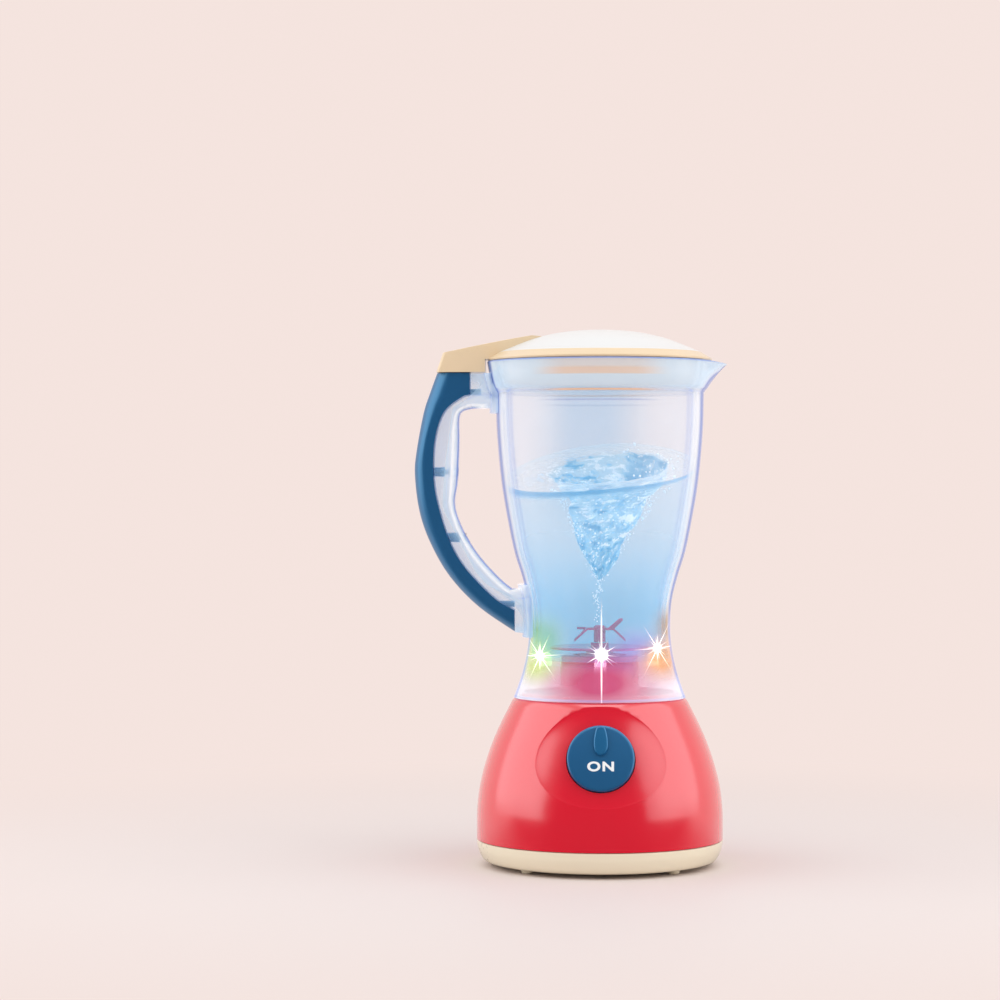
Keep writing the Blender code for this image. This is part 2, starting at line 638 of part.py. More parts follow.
def make_base_cover():
    """Cream tray: rounded rim, lip for the shell, four nubs and the battery bay."""
    seat_z = SEAM_Z - FIT_GAP
    flat_r = BASE_R - COVER_ROUND
    outer = [(flat_r, NUB_H)]
    outer += [(between(flat_r, BASE_R, w), between(NUB_H, seat_z, h))
              for w, h in COVER_CURVE_SHARES]
    lip_r = BASE_R - BASE_WALL - FIT_GAP
    inner = offset_line(outer, -COVER_WALL)
    outline = [(0, NUB_H)] + outer
    outline += [(lip_r, seat_z), (lip_r, seat_z + LIP_H), (lip_r - LIP_WALL, seat_z + LIP_H)]
    outline += [(lip_r - LIP_WALL, seat_z - LIP_H)] + inner[-3::-1] + [(0, NUB_H + COVER_WALL)]
    cover = solid(lathe(outline))
    frame_low = (recess_low_x - DOOR_FRAME, -recess_y - DOOR_FRAME, NUB_H)
    frame_high = (recess_high_x + DOOR_FRAME, recess_y + DOOR_FRAME, NUB_H + DOOR_FRAME_H)
    join(cover, block(frame_low, frame_high))
    join(cover, block((-bay_x - BAY_WALL, -bay_y - BAY_WALL, NUB_H),
                      (bay_x + BAY_WALL, bay_y + BAY_WALL, bay_top + BAY_WALL)))
    join(cover, rod(DOOR_BOSS_R, NUB_H + COVER_WALL, NUB_H + DOOR_BOSS_H, (door_screw_x, 0)))
    nub = [(0, 0), (NUB_FLAT_R, 0)]
    nub += [(between(NUB_FLAT_R, NUB_R, w), NUB_H * h) for w, h in NUB_CURVE_SHARES]
    nub += [(NUB_R, NUB_H + COVER_WALL / 2), (0, NUB_H + COVER_WALL / 2)]
    for angle in screw_angles:
        x, y = on_circle(BASE_R - NUB_INSET, angle + math.tau / len(screw_angles) / 2)
        join(cover, turned_by(lathe(nub, SMALL_STEPS), Matrix.Translation((x, y, 0))))
    for angle in screw_angles:
        spot = on_circle(cover_screw_place, angle)
        join(cover, rod(SCREW_HEAD_R + FIT_GAP + BAY_WALL, NUB_H + COVER_WALL / 2, seat_z, spot))
    cut(cover, block((-bay_x, -bay_y, 0), (bay_x, bay_y, bay_top)))
    cut(cover, block((recess_low_x, -recess_y, 0), (recess_high_x, recess_y, ledge_z)))
    cut(cover, rod(SMALL_SCREW_R + FIT_GAP, 0, NUB_H + DOOR_BOSS_H - BAY_WALL, (door_screw_x, 0)))
    for angle in screw_angles:
        spot = on_circle(cover_screw_place, angle)
        cut(cover, rod(SCREW_HEAD_R + FIT_GAP, 0, COVER_SCREW_SEAT, spot))
        cut(cover, rod(SCREW_R + FIT_GAP, 0, SEAM_Z + OVERRUN, spot))
        notch = block((lip_r - LIP_WALL - OVERRUN, -COVER_RIB / 2 - FIT_GAP, seat_z),
                      (lip_r + OVERRUN, COVER_RIB / 2 + FIT_GAP, seat_z + LIP_H + OVERRUN))
        cut(cover, turned_by(notch, round_z(angle)))
    place(cover, "base_cover", "cream_plastic")


def make_battery_door():
    door = solid(block((recess_low_x + FIT_GAP, -recess_y + FIT_GAP, NUB_H),
                       (recess_high_x - FIT_GAP, recess_y - FIT_GAP, door_top)))
    cut(door, rod(SMALL_SCREW_R + FIT_GAP, 0, door_top + OVERRUN, (door_screw_x, 0)))
    cut(door, rod(SMALL_HEAD_R + FIT_GAP, 0, door_screw_seat, (door_screw_x, 0)))
    place(door, "battery_door", "cream_plastic")


def screw(name, shank_r, head_r, head_h, length, matrix, parent=stand):
    """A screw whose head's seat is at z = 0, its shank going up."""
    outline = [(0, -head_h), (head_r, -head_h), (head_r, 0), (shank_r, 0),
               (shank_r, length - shank_r), (0, length)]
    place(solid(turned_by(lathe(outline, SCREW_STEPS), matrix)), name, "steel", parent)


def make_cells():
    """Three cells lying along X, turned end for end, between two contact strips."""
    half = CELL_LENGTH / 2
    outline = [(0, -half), (CELL_R, -half), (CELL_R, half), (CELL_NUB_R, half),
               (CELL_NUB_R, half + CELL_NUB), (0, half + CELL_NUB)]
    rows = [(i - (CELL_COUNT - 1) / 2) * cell_pitch for i in range(CELL_COUNT)]
    for i, row in enumerate(rows):
        turn = math.radians(90 if i % 2 == 0 else -90)
        spot = Matrix.Translation((0, row, cell_z)) @ Matrix.Rotation(turn, 4, "Y")
        cell = turned_by(lathe(outline, CELL_STEPS), spot)
        place(solid(cell), f"battery_cell_{i + 1}", "cell_jacket")
    wall = bay_x - FIT_GAP
    for side, name in ((-1, "contact_strip_left"), (1, "contact_strip_right")):
        low_x, high_x = sorted((side * wall, side * (wall - CONTACT_THICKNESS)))
        strip = solid(block((low_x, rows[0] - CELL_R, cell_z - CONTACT_HEIGHT / 2),
                            (high_x, rows[-1] + CELL_R, cell_z + CONTACT_HEIGHT / 2)))
        for i, row in enumerate(rows):
            nub_here = (i % 2 == 0) == (side > 0)
            end = half + (CELL_NUB if nub_here else 0) + FIT_GAP
            bump = rod(CONTACT_BUMP_R, 0, wall - CONTACT_THICKNESS / 2 - end,
                       end_radius=CONTACT_TIP_R)
            turn = Matrix.Rotation(math.radians(-90 * side), 4, "Y")
            start = Matrix.Translation((side * (wall - CONTACT_THICKNESS / 2), row, cell_z))
            join(strip, turned_by(bump, start @ turn))
        place(strip, name, "steel", smooth=False)


def make_button():
    """Navy cap with a retaining flange, a stem and a raised drop-shaped rib."""
    flange_top = -SLEEVE_DEPTH - FIT_GAP
    flange_bottom = flange_top - BUTTON_WALL
    flange_r = BUTTON_R + BUTTON_FLANGE
    top = BUTTON_PROUD
    outline = [(0, top + BUTTON_CROWN), (BUTTON_R / 2, top + BUTTON_CROWN * CROWN_SHARE),
               (BUTTON_R - BUTTON_EDGE, top), (BUTTON_R, top - BUTTON_EDGE),
               (BUTTON_R, flange_top), (flange_r, flange_top), (flange_r, flange_bottom),
               (BUTTON_R - BUTTON_WALL, flange_bottom),
               (BUTTON_R - BUTTON_WALL, top - 2 * BUTTON_WALL),
               (STEM_R, top - 2 * BUTTON_WALL), (STEM_R, -STEM_DEPTH), (0, -STEM_DEPTH)]
    button = solid(lathe(outline, MIDDLE_STEPS))
    foot = BUTTON_R - BUTTON_EDGE - RIB_LENGTH
    half = [(RIB_WIDTH / 2 * w, foot + RIB_LENGTH * h) for w, h in RIB_OUTLINE_SHARES]
    around = half + [(-x, y) for x, y in half[-2:0:-1]]
    rib = bmesh.new()
    face = rib.faces.new([rib.verts.new((x, y, top - BUTTON_EDGE)) for x, y in around])
    grown = bmesh.ops.extrude_face_region(rib, geom=[face])
    moved = [v for v in grown["geom"] if isinstance(v, bmesh.types.BMVert)]
    bmesh.ops.translate(rib, verts=moved, vec=(0, 0, BUTTON_EDGE + BUTTON_CROWN + RIB_HEIGHT))
    bmesh.ops.recalc_face_normals(rib, faces=rib.faces)
    upper = [e for e in rib.edges if all(v in moved for v in e.verts)]
    bmesh.ops.bevel(rib, geom=upper, offset=RIB_ROUND, offset_type="OFFSET", segments=2,
                    profile=0.5, affect="EDGES", clamp_overlap=True)
    join(button, rib)
    place(button, "button", "navy_plastic", button_axis)
    plunger = rod(PLUNGER_R, switch_top - SWITCH_H / 3, -STEM_DEPTH - FIT_GAP)
    place(solid(plunger), "switch_plunger", "white_plastic", button_axis)


def make_switch():
    """Push switch on the control board, screwed to two posts behind the button."""
    half = SWITCH_SIDE / 2
    housing = solid(block((-half, -half, board_face + FIT_GAP), (half, half, switch_top)))
    depth = switch_top - SWITCH_H / 3 - BUTTON_TRAVEL - FIT_GAP
    cut(housing, rod(PLUNGER_R + FIT_GAP, depth, switch_top + OVERRUN))
    place(housing, "switch_body", "dark_plastic", button_axis)
    far = board_face - FIT_GAP - BOARD_THICKNESS
    board_x = switch_post_place + SWITCH_BOARD_END
    board = solid(block((-board_x, -SWITCH_BOARD_WIDTH / 2, far),
                        (board_x, SWITCH_BOARD_WIDTH / 2, board_face - FIT_GAP)))
    for side, name in ((-1, "board_screw_left"), (1, "board_screw_right")):
        spot = (side * switch_post_place, 0)
        cut(board, rod(SMALL_SCREW_R + FIT_GAP, far - OVERRUN, board_face + OVERRUN, spot))
        seat = Matrix.Translation((*spot, far - FIT_GAP))
        screw(name, SMALL_SCREW_R, SMALL_HEAD_R, SMALL_HEAD, SWITCH_H, seat, button_axis)
    place(board, "control_board", "green_board", button_axis, smooth=False)


def make_lights():
    """Lamps on a ring board under the deck, each below a clear rod that stands in the jar."""
    board_bottom = light_board_z - FIT_GAP - BOARD_THICKNESS
    sleeve_r = BUTTON_R + RUN_GAP + SLEEVE_WALL + FIT_GAP
    sleeve_back = -SLEEVE_DEPTH - FIT_GAP
    flange_back = sleeve_back - BUTTON_WALL - FIT_GAP
    board = solid(lathe([(LIGHT_BOARD_HOLE_R, board_bottom), (light_board_r, board_bottom),
                         (light_board_r, light_board_z - FIT_GAP),
                         (LIGHT_BOARD_HOLE_R, light_board_z - FIT_GAP)], MIDDLE_STEPS))
    for angle in post_angles:
        cut(board, rod(SMALL_SCREW_R + FIT_GAP, board_bottom - OVERRUN,
                       light_board_z + OVERRUN, on_circle(POST_PLACE, angle)))
    room = lathe([(0, flange_back), (BUTTON_R + BUTTON_FLANGE + FIT_GAP, flange_back),
                  (BUTTON_R + BUTTON_FLANGE + FIT_GAP, sleeve_back), (sleeve_r, sleeve_back),
                  (sleeve_r, 0), (0, 0)], MIDDLE_STEPS)
    cut(board, turned_by(room, button_frame))
    place(board, "light_board", "green_board")
    flange_top = deck_under - FIT_GAP
    flange_bottom = flange_top - PIPE_FLANGE
    lamp_top = flange_bottom - FIT_GAP
    for angle, side in zip(light_angles, ("front", "right", "left")):
        x, y = on_circle(pipe_place, angle)
        spot = Matrix.Translation((x, y, 0))
        pipe = [(0, flange_bottom), (PIPE_R + PIPE_FLANGE, flange_bottom),
                (PIPE_R + PIPE_FLANGE, flange_top), (PIPE_R, flange_top)]
        pipe += [(PIPE_R * w, pipe_top - PIPE_R * d) for w, d in ROUND_TIP_SHARES]
        place(solid(turned_by(lathe(pipe, SMALL_STEPS), spot)), f"light_pipe_{side}",
              "clear_plastic")
        lamp = [(0, light_board_z), (LED_R + LED_FLANGE / 2, light_board_z),
                (LED_R + LED_FLANGE / 2, light_board_z + LED_FLANGE),
                (LED_R, light_board_z + LED_FLANGE)]
        lamp += [(LED_R * w, lamp_top - LED_R * d) for w, d in ROUND_TIP_SHARES]
        place(solid(turned_by(lathe(lamp, SMALL_STEPS), spot)), f"led_{side}", "white_plastic")


def make_motor():
    """Motor in its holder, which hangs with the light board on the deck's posts."""
    nose_top = motor_top + TURRET_FLOOR
    outline = [(MOTOR_SHAFT_R + FIT_GAP, motor_bottom + FIT_GAP), (MOTOR_R, motor_bottom + FIT_GAP),
               (MOTOR_R, motor_top), (MOTOR_NOSE_R, motor_top), (MOTOR_NOSE_R, nose_top),
               (MOTOR_SHAFT_R + FIT_GAP, nose_top)]
    place(solid(lathe(outline, MIDDLE_STEPS)), "motor", "steel")
    flange_top = light_board_z - 2 * FIT_GAP - BOARD_THICKNESS
    flange_bottom = flange_top - HOLDER_WALL
    cup_in = MOTOR_R + FIT_GAP
    cup_out = cup_in + HOLDER_WALL
    rim_top = light_board_z + MOTOR_LENGTH / 5
    holder_r = POST_PLACE + HOLDER_RIM
    cup = [(0, motor_bottom - HOLDER_WALL), (cup_out, motor_bottom - HOLDER_WALL),
           (cup_out, flange_bottom), (holder_r, flange_bottom), (holder_r, flange_top),
           (cup_out, flange_top), (cup_out, rim_top), (cup_in, rim_top),
           (cup_in, motor_bottom), (0, motor_bottom)]
    holder = solid(lathe(cup, MIDDLE_STEPS))
    for i, angle in enumerate(post_angles):
        spot = on_circle(POST_PLACE, angle)
        cut(holder, rod(SMALL_SCREW_R + FIT_GAP, flange_bottom - OVERRUN, flange_top + OVERRUN, spot))
        seat = Matrix.Translation((*spot, flange_bottom - FIT_GAP))
        length = deck_under - 2 * SMALL_SCREW_R - flange_bottom
        screw(f"holder_screw_{i + 1}", SMALL_SCREW_R, SMALL_HEAD_R, SMALL_HEAD, length, seat)
    place(holder, "motor_holder", "white_plastic")


def dogs(bottom, top, turn):
    """Three wedge-shaped drive dogs, as one tool for each."""
    made = []
    for i in range(DOG_COUNT):
        start = turn + math.tau * i / DOG_COUNT - DOG_SPREAD / 2
        corners = []
        arcs = [start + DOG_SPREAD * k / 4 for k in range(5)]
        corners += [on_circle(COUPLER_R - RUN_GAP, a) for a in arcs]
        corners += [on_circle(DOG_INNER_R, a) for a in reversed(arcs)]
        bm = bmesh.new()
        face = bm.faces.new([bm.verts.new((x, y, bottom)) for x, y in corners])
        grown = bmesh.ops.extrude_face_region(bm, geom=[face])
        moved = [v for v in grown["geom"] if isinstance(v, bmesh.types.BMVert)]
        bmesh.ops.translate(bm, verts=moved, vec=(0, 0, top - bottom))
        bmesh.ops.recalc_face_normals(bm, faces=bm.faces)
        made.append(bm)
    return made


def make_couplers():
    """Dog clutch: the motor's half stands in the turret, the jar's half drops into it."""
    shaft_top = drive_top - FIT_GAP
    shaft = rod(MOTOR_SHAFT_R, motor_bottom + 2 * FIT_GAP, shaft_top)
    place(solid(shaft), "motor_shaft", "steel")
    bore = MOTOR_SHAFT_R + FIT_GAP
    lower = solid(lathe([(bore, drive_bottom), (COUPLER_R, drive_bottom),
                         (COUPLER_R, drive_top), (bore, drive_top)], MIDDLE_STEPS))
    for dog in dogs(drive_top - DRIVE_DISC / 2, drive_top + DOG_H, 0):
        join(lower, dog)
    place(lower, "drive_coupler", "white_plastic")
    upper = solid(lathe([(0, driven_bottom), (COUPLER_R, driven_bottom),
                         (COUPLER_R, driven_top), (0, driven_top)], MIDDLE_STEPS))
    for dog in dogs(driven_bottom - DOG_H, driven_bottom + DRIVEN_DISC / 2,
                    math.pi / DOG_COUNT):
        join(upper, dog)
    cut(upper, rod(shaft_hole_r, driven_bottom - DOG_H, driven_top + OVERRUN))
    place(upper, "driven_coupler", "white_plastic")


def make_jar():
    """Clear jar: flared foot, waist, bell, beaded rim with a beak, and its own floor."""
    hole_r = CARRIER_NECK_R + FIT_GAP
    inner = jar_inner
    inner_top = (inner[-1][0], rim_z)
    upper = [p for p in cut_above(inner, floor_z) if p[1] < rim_z - WELD] + [inner_top]
    lower = cut_below([(r, max(z, jar_foot_z)) for r, z in inner], floor_under)
    outline = list(jar_line) + upper[::-1]
    outline += [(hole_r, floor_z), (hole_r, floor_under)] + lower[::-1]
    bm = lathe(outline)
    reach = spout_reach - rim_r
    for vert in bm.verts:
        lift = (vert.co.z - shoulder_z) / (rim_z - shoulder_z)
        angle = abs(math.atan2(vert.co.y, vert.co.x))
        if lift > 0 and angle < SPOUT_HALF_ANGLE:
            beak = lift ** SPOUT_SCOOP * (1 - angle / SPOUT_HALF_ANGLE) ** SPOUT_SHARPNESS
            radius = math.hypot(vert.co.x, vert.co.y)
            vert.co.x *= 1 + reach * beak / radius
            vert.co.y *= 1 + reach * beak / radius
            vert.co.z -= SPOUT_DIP * beak
    bmesh.ops.triangulate(bm, faces=bm.faces)
    place(solid(bm), "jar_shell", "clear_plastic")


def make_carrier():
    """Crimson bearing plate on the jar's floor, held by a nut from below."""
    flange_bottom = floor_z + FIT_GAP
    flange_top = flange_bottom + CARRIER_FLANGE
    boss_top = flange_top + CARRIER_BOSS_H
    bore = shaft_hole_r
    outline = [(bore, nut_bottom), (CARRIER_NECK_R, nut_bottom), (CARRIER_NECK_R, flange_bottom),
               (CARRIER_R, flange_bottom), (CARRIER_R, flange_top - CARRIER_FLANGE / 3),
               (CARRIER_R - CARRIER_FLANGE, flange_top), (CARRIER_BOSS_R, flange_top),
               (CARRIER_BOSS_R, boss_top), (bore, boss_top)]
    place(solid(lathe(outline, MIDDLE_STEPS)), "blade_carrier", "crimson_plastic")
    thread_r = CARRIER_NECK_R + FIT_GAP
    nut_top = nut_bottom + NUT_H
    ring = [(thread_r, nut_bottom), (NUT_R, nut_bottom), (NUT_R, nut_top), (thread_r, nut_top)]
    place(solid(lathe(ring, MIDDLE_STEPS)), "carrier_nut", "white_plastic")
    return boss_top


def blade_arm(angle, drop):
    """One arm: flat to the bend, then sloping to a narrower tip."""
    half = BLADE_WIDTH / 2
    tip = half * BLADE_TIP_SHARE
    bottom = blade_top_z - BLADE_THICKNESS
    rows = ((0, half, 0), (BLADE_BEND, half, 0), (BLADE_REACH, tip, drop))
    bm = bmesh.new()
    loops = []
    for reach, side, fall in rows:
        loops.append([bm.verts.new((reach, y, z - fall))
                      for y, z in ((-side, bottom), (side, bottom),
                                   (side, blade_top_z), (-side, blade_top_z))])
    for first, second in zip(loops, loops[1:]):
        for i in range(4):
            bm.faces.new((first[i], first[(i + 1) % 4], second[(i + 1) % 4], second[i]))
    bm.faces.new(loops[0])
    bm.faces.new(loops[-1])
    bmesh.ops.recalc_face_normals(bm, faces=bm.faces)
    return turned_by(bm, round_z(angle))


def make_blade(boss_top):
    """Blade moulding with its hub, and the shaft down to the clutch."""
    hub_bottom = boss_top + RUN_GAP
    cap = blade_top_z + BLADE_THICKNESS
    blade = solid(lathe([(0, hub_bottom), (BLADE_HUB_R, hub_bottom),
                         (BLADE_HUB_R, cap - BLADE_THICKNESS / 2),
                         (BLADE_HUB_R * BLADE_CAP_SHARE, cap), (0, cap)], SMALL_STEPS))
    arms = [(angle, BLADE_DROP) for angle in DROP_ANGLES]
    arms += [(RISE_ANGLE, -BLADE_RISE), (LEVEL_ANGLE, 0)]
    for angle, drop in arms:
        join(blade, blade_arm(math.radians(angle), drop))
    bore_top = blade_top_z - BLADE_THICKNESS
    cut(blade, rod(shaft_hole_r, hub_bottom - OVERRUN, bore_top))
    place(blade, "blade", "crimson_plastic")
    shaft = rod(SHAFT_R, driven_bottom, bore_top - FIT_GAP)
    place(solid(shaft), "blade_shaft", "steel")


arm_top = handle_top_z - FIT_GAP
arm_bottom = handle_top_z - FIT_GAP - ARM_DEPTH
lower_arm_top = handle_foot_z + LOWER_ARM_DEPTH
upper_peg_z = handle_top_z - UPPER_PEG_DROP
lower_peg_z = handle_foot_z + LOWER_PEG_RISE
upper_boss_z = between(handle_foot_z, handle_top_z, UPPER_BOSS_SHARE)
lower_boss_z = between(handle_foot_z, handle_top_z, LOWER_BOSS_SHARE)


def handle_point(reach_share, height_share):
    return (-between(JAR_WAIST_R, handle_reach, reach_share),
            between(handle_foot_z, handle_top_z, height_share))


grip_outer = smooth_line([handle_point(*p) for p in GRIP_OUTER_SHARES], 2)
grip_inner = smooth_line([handle_point(*p) for p in GRIP_INNER_SHARES], 2)
arm_end = -grip_inner[-1][0]
grip_foot = -grip_inner[0][0]
finger_line = smooth_line([handle_point(*p) for p in FINGER_SHARES], 2)
inner_by_height = [(-x, z) for x, z in grip_inner]
finger_by_height = [(-x, z) for x, z in finger_line]


def along_x(bm, start_x, height):
    """A tool made along Z, laid along +X from a point."""
    turn = Matrix.Translation((start_x, 0, height)) @ Matrix.Rotation(math.radians(90), 4, "Y")
    return turned_by(bm, turn)


def make_grip():
    """Navy grip: rounded back, two pegs and two screw bosses into the frame."""
    top_corner = (-arm_end, handle_top_z)
    foot_corner = (-grip_foot, grip_inner[0][1])
    outline = grip_outer + [foot_corner] + grip_inner[1:-1]
    outline += [(-arm_end, grip_inner[-1][1]), top_corner]
    bm = slab(outline, GRIP_WIDTH)
    round_sides(bm, GRIP_WIDTH, GRIP_ROUND, 3, grip_outer)
    grip = solid(bm)
    for height, radius in ((upper_peg_z, PEG_R), (lower_peg_z, PEG_R),
                           (upper_boss_z, BOSS_R), (lower_boss_z, BOSS_R)):
        face = peg_face(height)
        join(grip, along_x(rod(radius, -PEG_LENGTH / 2, PEG_LENGTH), -face, height))
    for height in (upper_boss_z, lower_boss_z):
        face = peg_face(height)
        pilot = rod(SMALL_SCREW_R + FIT_GAP, 0, PEG_LENGTH + OVERRUN)
        cut(grip, along_x(pilot, -face, height))
    place(grip, "handle_grip", "navy_plastic")


def peg_face(height):
    """How far from the axis the grip's inner face is at a peg's height."""
    if height >= grip_inner[-1][1]:
        return arm_end
    return radius_at(inner_by_height, height)


def jar_solid(growth):
    """The space that the jar's outside fills, grown by a gap."""
    line = offset_line(jar_line, growth)
    return lathe([(0, line[0][1])] + line + [(0, line[-1][1])])


def make_frame():
    """Clear handle frame with saddles that follow the jar's wall."""
    inside = JAR_WAIST_R / 2
    seat = offset_line(grip_inner, FIT_GAP)
    arm_x = -(arm_end - FIT_GAP)
    outline = [(-inside, arm_top), (arm_x, arm_top), (arm_x, seat[-1][1])]
    outline += seat[-2:0:-1]
    foot_x = -(grip_foot - FIT_GAP)
    outline += [(foot_x, seat[0][1]), (foot_x, handle_foot_z), (-inside, handle_foot_z - LOWER_ARM_FALL),
                (-inside, lower_arm_top)]
    outline += finger_line + [(-inside, arm_bottom)]
    bm = slab(outline, FRAME_WIDTH)
    round_sides(bm, FRAME_WIDTH, FRAME_ROUND, 2, finger_line)
    frame = solid(bm)
    for low, high in ((arm_bottom - PAD_MARGIN, arm_top),
                      (handle_foot_z - PAD_MARGIN, lower_arm_top + PAD_MARGIN)):
        pad = solid(jar_solid(PAD_THICKNESS + FIT_GAP))
        box = block((-rim_r - PAD_THICKNESS * 2, -PAD_HALF_WIDTH, low),
                    (-inside, PAD_HALF_WIDTH, high))
        combine(pad, box, "INTERSECT")
        join(frame, as_tool(pad))
    cut(frame, jar_solid(FIT_GAP))
    for height, radius in ((upper_peg_z, PEG_R), (lower_peg_z, PEG_R),
                           (upper_boss_z, BOSS_R), (lower_boss_z, BOSS_R)):
        bore = rod(radius + FIT_GAP, -OVERRUN, PEG_LENGTH + FIT_GAP)
        cut(frame, along_x(bore, -peg_face(height), height))
    for height, name in ((upper_boss_z, "grip_screw_upper"), (lower_boss_z, "grip_screw_lower")):
        seat_x = PEG_LENGTH + GRIP_SCREW_SEAT - peg_face(height)
        through = rod(SMALL_SCREW_R + FIT_GAP, -GRIP_SCREW_SEAT - OVERRUN, OVERRUN)
        cut(frame, along_x(through, seat_x, height))
        face_x = -radius_at(finger_by_height, height)
        head_room = rod(SMALL_HEAD_R + FIT_GAP, 0, face_x - seat_x + OVERRUN * 2)
        cut(frame, along_x(head_room, seat_x, height))
        turn = Matrix.Translation((seat_x + FIT_GAP, 0, height))
        turn = turn @ Matrix.Rotation(math.radians(-90), 4, "Y")
        screw(name, SMALL_SCREW_R, SMALL_HEAD_R, SMALL_HEAD, GRIP_SCREW_LENGTH, turn)
    place(frame, "handle_frame", "clear_plastic")


def make_lid():
    """Cream lid: dome, steeper rim, skirt in the jar's mouth and a tab over the handle."""
    skirt = offset_line(jar_inner, -RUN_GAP)
    skirt_z = lid_rim_z - SKIRT_DEPTH
    skirt_out = [(radius_at(skirt, lid_rim_z), lid_rim_z)]
    skirt_out += [p for p in skirt[::-1] if skirt_z < p[1] < lid_rim_z - OVERRUN]
    skirt_out += [(radius_at(skirt, skirt_z), skirt_z)]
    skirt_in = [(r - LID_WALL, z) for r, z in skirt_out[::-1][:-1]]
    dome_in = [(r, z - LID_WALL) for r, z in dome_line[::-1] if r < skirt_in[-1][0] - LID_WALL]
    outline = list(dome_line) + [(lid_r, lid_rim_z + LID_WALL / 2), (lid_r, lid_rim_z)]
    outline += skirt_out + skirt_in
    outline += [(skirt_in[-1][0], height_at(dome_line, skirt_in[-1][0]) - LID_WALL)] + dome_in
    lid = solid(lathe(outline))

    buried = LID_WALL * TAB_BURIED_SHARE
    tab_reach = -grip_outer[0][0]
    tab_top_reach = tab_reach - TAB_LEAN
    tab_foot_z = handle_top_z + FIT_GAP
    tab_top_z = tab_foot_z + TAB_HEIGHT
    tab_end = crease_r * TAB_END_SHARE
    back = [(between(tab_top_reach, tab_end, w),
             between(tab_top_z, height_at(dome_line, tab_end), h))
            for w, h in TAB_BACK_SHARES]
    under = [tab_end + (crease_r - tab_end) * k / 4 for k in range(5)]
    inner_reach = rim_r + 2 * RUN_GAP
    tab = [(-tab_reach, tab_foot_z), (-tab_top_reach, tab_top_z)]
    tab += [(-reach, height) for reach, height in back]
    tab += [(-reach, height_at(dome_line, reach) - buried) for reach in under]
    tab_join_z = lid_rim_z + LID_WALL / 4
    tab += [(-crease_r - LID_WALL, tab_join_z), (-inner_reach, tab_join_z),
            (-inner_reach, tab_foot_z)]
    rounded = tab[1:len(back) + 2]
    bm = slab(tab, TAB_WIDTH)
    round_sides(bm, TAB_WIDTH, TAB_ROUND, 3, rounded)
    join(lid, bm, "MANIFOLD")  # the exact solver loses the body here
    cut(lid, block((-tab_top_reach + TAB_WALL, -TAB_WIDTH / 2 + TAB_WALL, handle_top_z),
                   (-inner_reach - TAB_WALL, TAB_WIDTH / 2 - TAB_WALL, tab_top_z - TAB_WALL)))
    place(lid, "lid", "cream_plastic")


button_axis = empty("button_axis", button_place, stand, button_turn)
make_base_shell()
make_base_cover()
make_battery_door()
screw("battery_door_screw", SMALL_SCREW_R, SMALL_HEAD_R, SMALL_HEAD, DOOR_BOSS_H / 2,
      Matrix.Translation((door_screw_x, 0, door_screw_seat - FIT_GAP / 2)))
for index, side_angle in enumerate(screw_angles):
    seat_point = (*on_circle(cover_screw_place, side_angle), COVER_SCREW_SEAT - FIT_GAP)
    screw(f"cover_screw_{index + 1}", SCREW_R, SCREW_HEAD_R, SCREW_HEAD, COVER_SCREW_LENGTH,
          Matrix.Translation(seat_point))
make_cells()
make_button()
make_switch()
make_lights()
make_motor()
make_couplers()
make_jar()
make_blade(make_carrier())
make_grip()
make_frame()
make_lid()
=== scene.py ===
import bmesh
import bpy
import random
from fnmatch import fnmatch
from math import atan2, cos, hypot, pi, radians, sin
from mathutils import Matrix, Vector, noise


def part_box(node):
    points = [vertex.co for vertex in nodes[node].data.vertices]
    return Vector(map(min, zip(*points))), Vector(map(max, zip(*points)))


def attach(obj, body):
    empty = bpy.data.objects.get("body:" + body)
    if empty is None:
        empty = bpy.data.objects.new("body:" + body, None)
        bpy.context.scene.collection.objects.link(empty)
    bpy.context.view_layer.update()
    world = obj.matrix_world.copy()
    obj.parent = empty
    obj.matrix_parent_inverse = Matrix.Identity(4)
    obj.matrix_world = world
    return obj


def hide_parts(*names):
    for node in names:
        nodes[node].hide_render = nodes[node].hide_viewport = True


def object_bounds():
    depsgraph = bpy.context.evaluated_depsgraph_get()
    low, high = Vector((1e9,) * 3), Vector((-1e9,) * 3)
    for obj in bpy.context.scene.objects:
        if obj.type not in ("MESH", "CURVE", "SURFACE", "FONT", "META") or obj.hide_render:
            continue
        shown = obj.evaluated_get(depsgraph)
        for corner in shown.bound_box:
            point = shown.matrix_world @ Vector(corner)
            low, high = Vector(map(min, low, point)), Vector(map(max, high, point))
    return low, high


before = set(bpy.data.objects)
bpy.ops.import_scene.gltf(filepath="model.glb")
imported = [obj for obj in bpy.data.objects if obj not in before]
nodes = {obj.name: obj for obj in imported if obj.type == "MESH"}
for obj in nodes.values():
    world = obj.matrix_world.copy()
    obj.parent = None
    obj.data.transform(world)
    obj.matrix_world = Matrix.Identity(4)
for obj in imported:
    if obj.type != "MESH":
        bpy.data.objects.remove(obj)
cadLow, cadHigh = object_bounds()
chance = random.Random(11)
ops, scene = bmesh.ops, bpy.context.scene
mm = 0.001
slack = 0.3 * mm                           # air between pieces that fit together
black, plain = (0.0, 0.0, 0.0), (1.0, 1.0, 1.0)

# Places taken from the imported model
shellLow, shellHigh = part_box("base_shell")
jarLow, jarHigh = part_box("jar_shell")
axisX = (shellLow.x + shellHigh.x) / 2     # the toy's own upright axis
baseRadius = (shellHigh.x - shellLow.x) / 2
seamZ = shellLow.z
footZ = jarLow.z
deckZ = footZ - slack
rimZ = jarHigh.z
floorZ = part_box("blade_carrier")[0].z
print("frame loaded, axis at", round(axisX, 4))


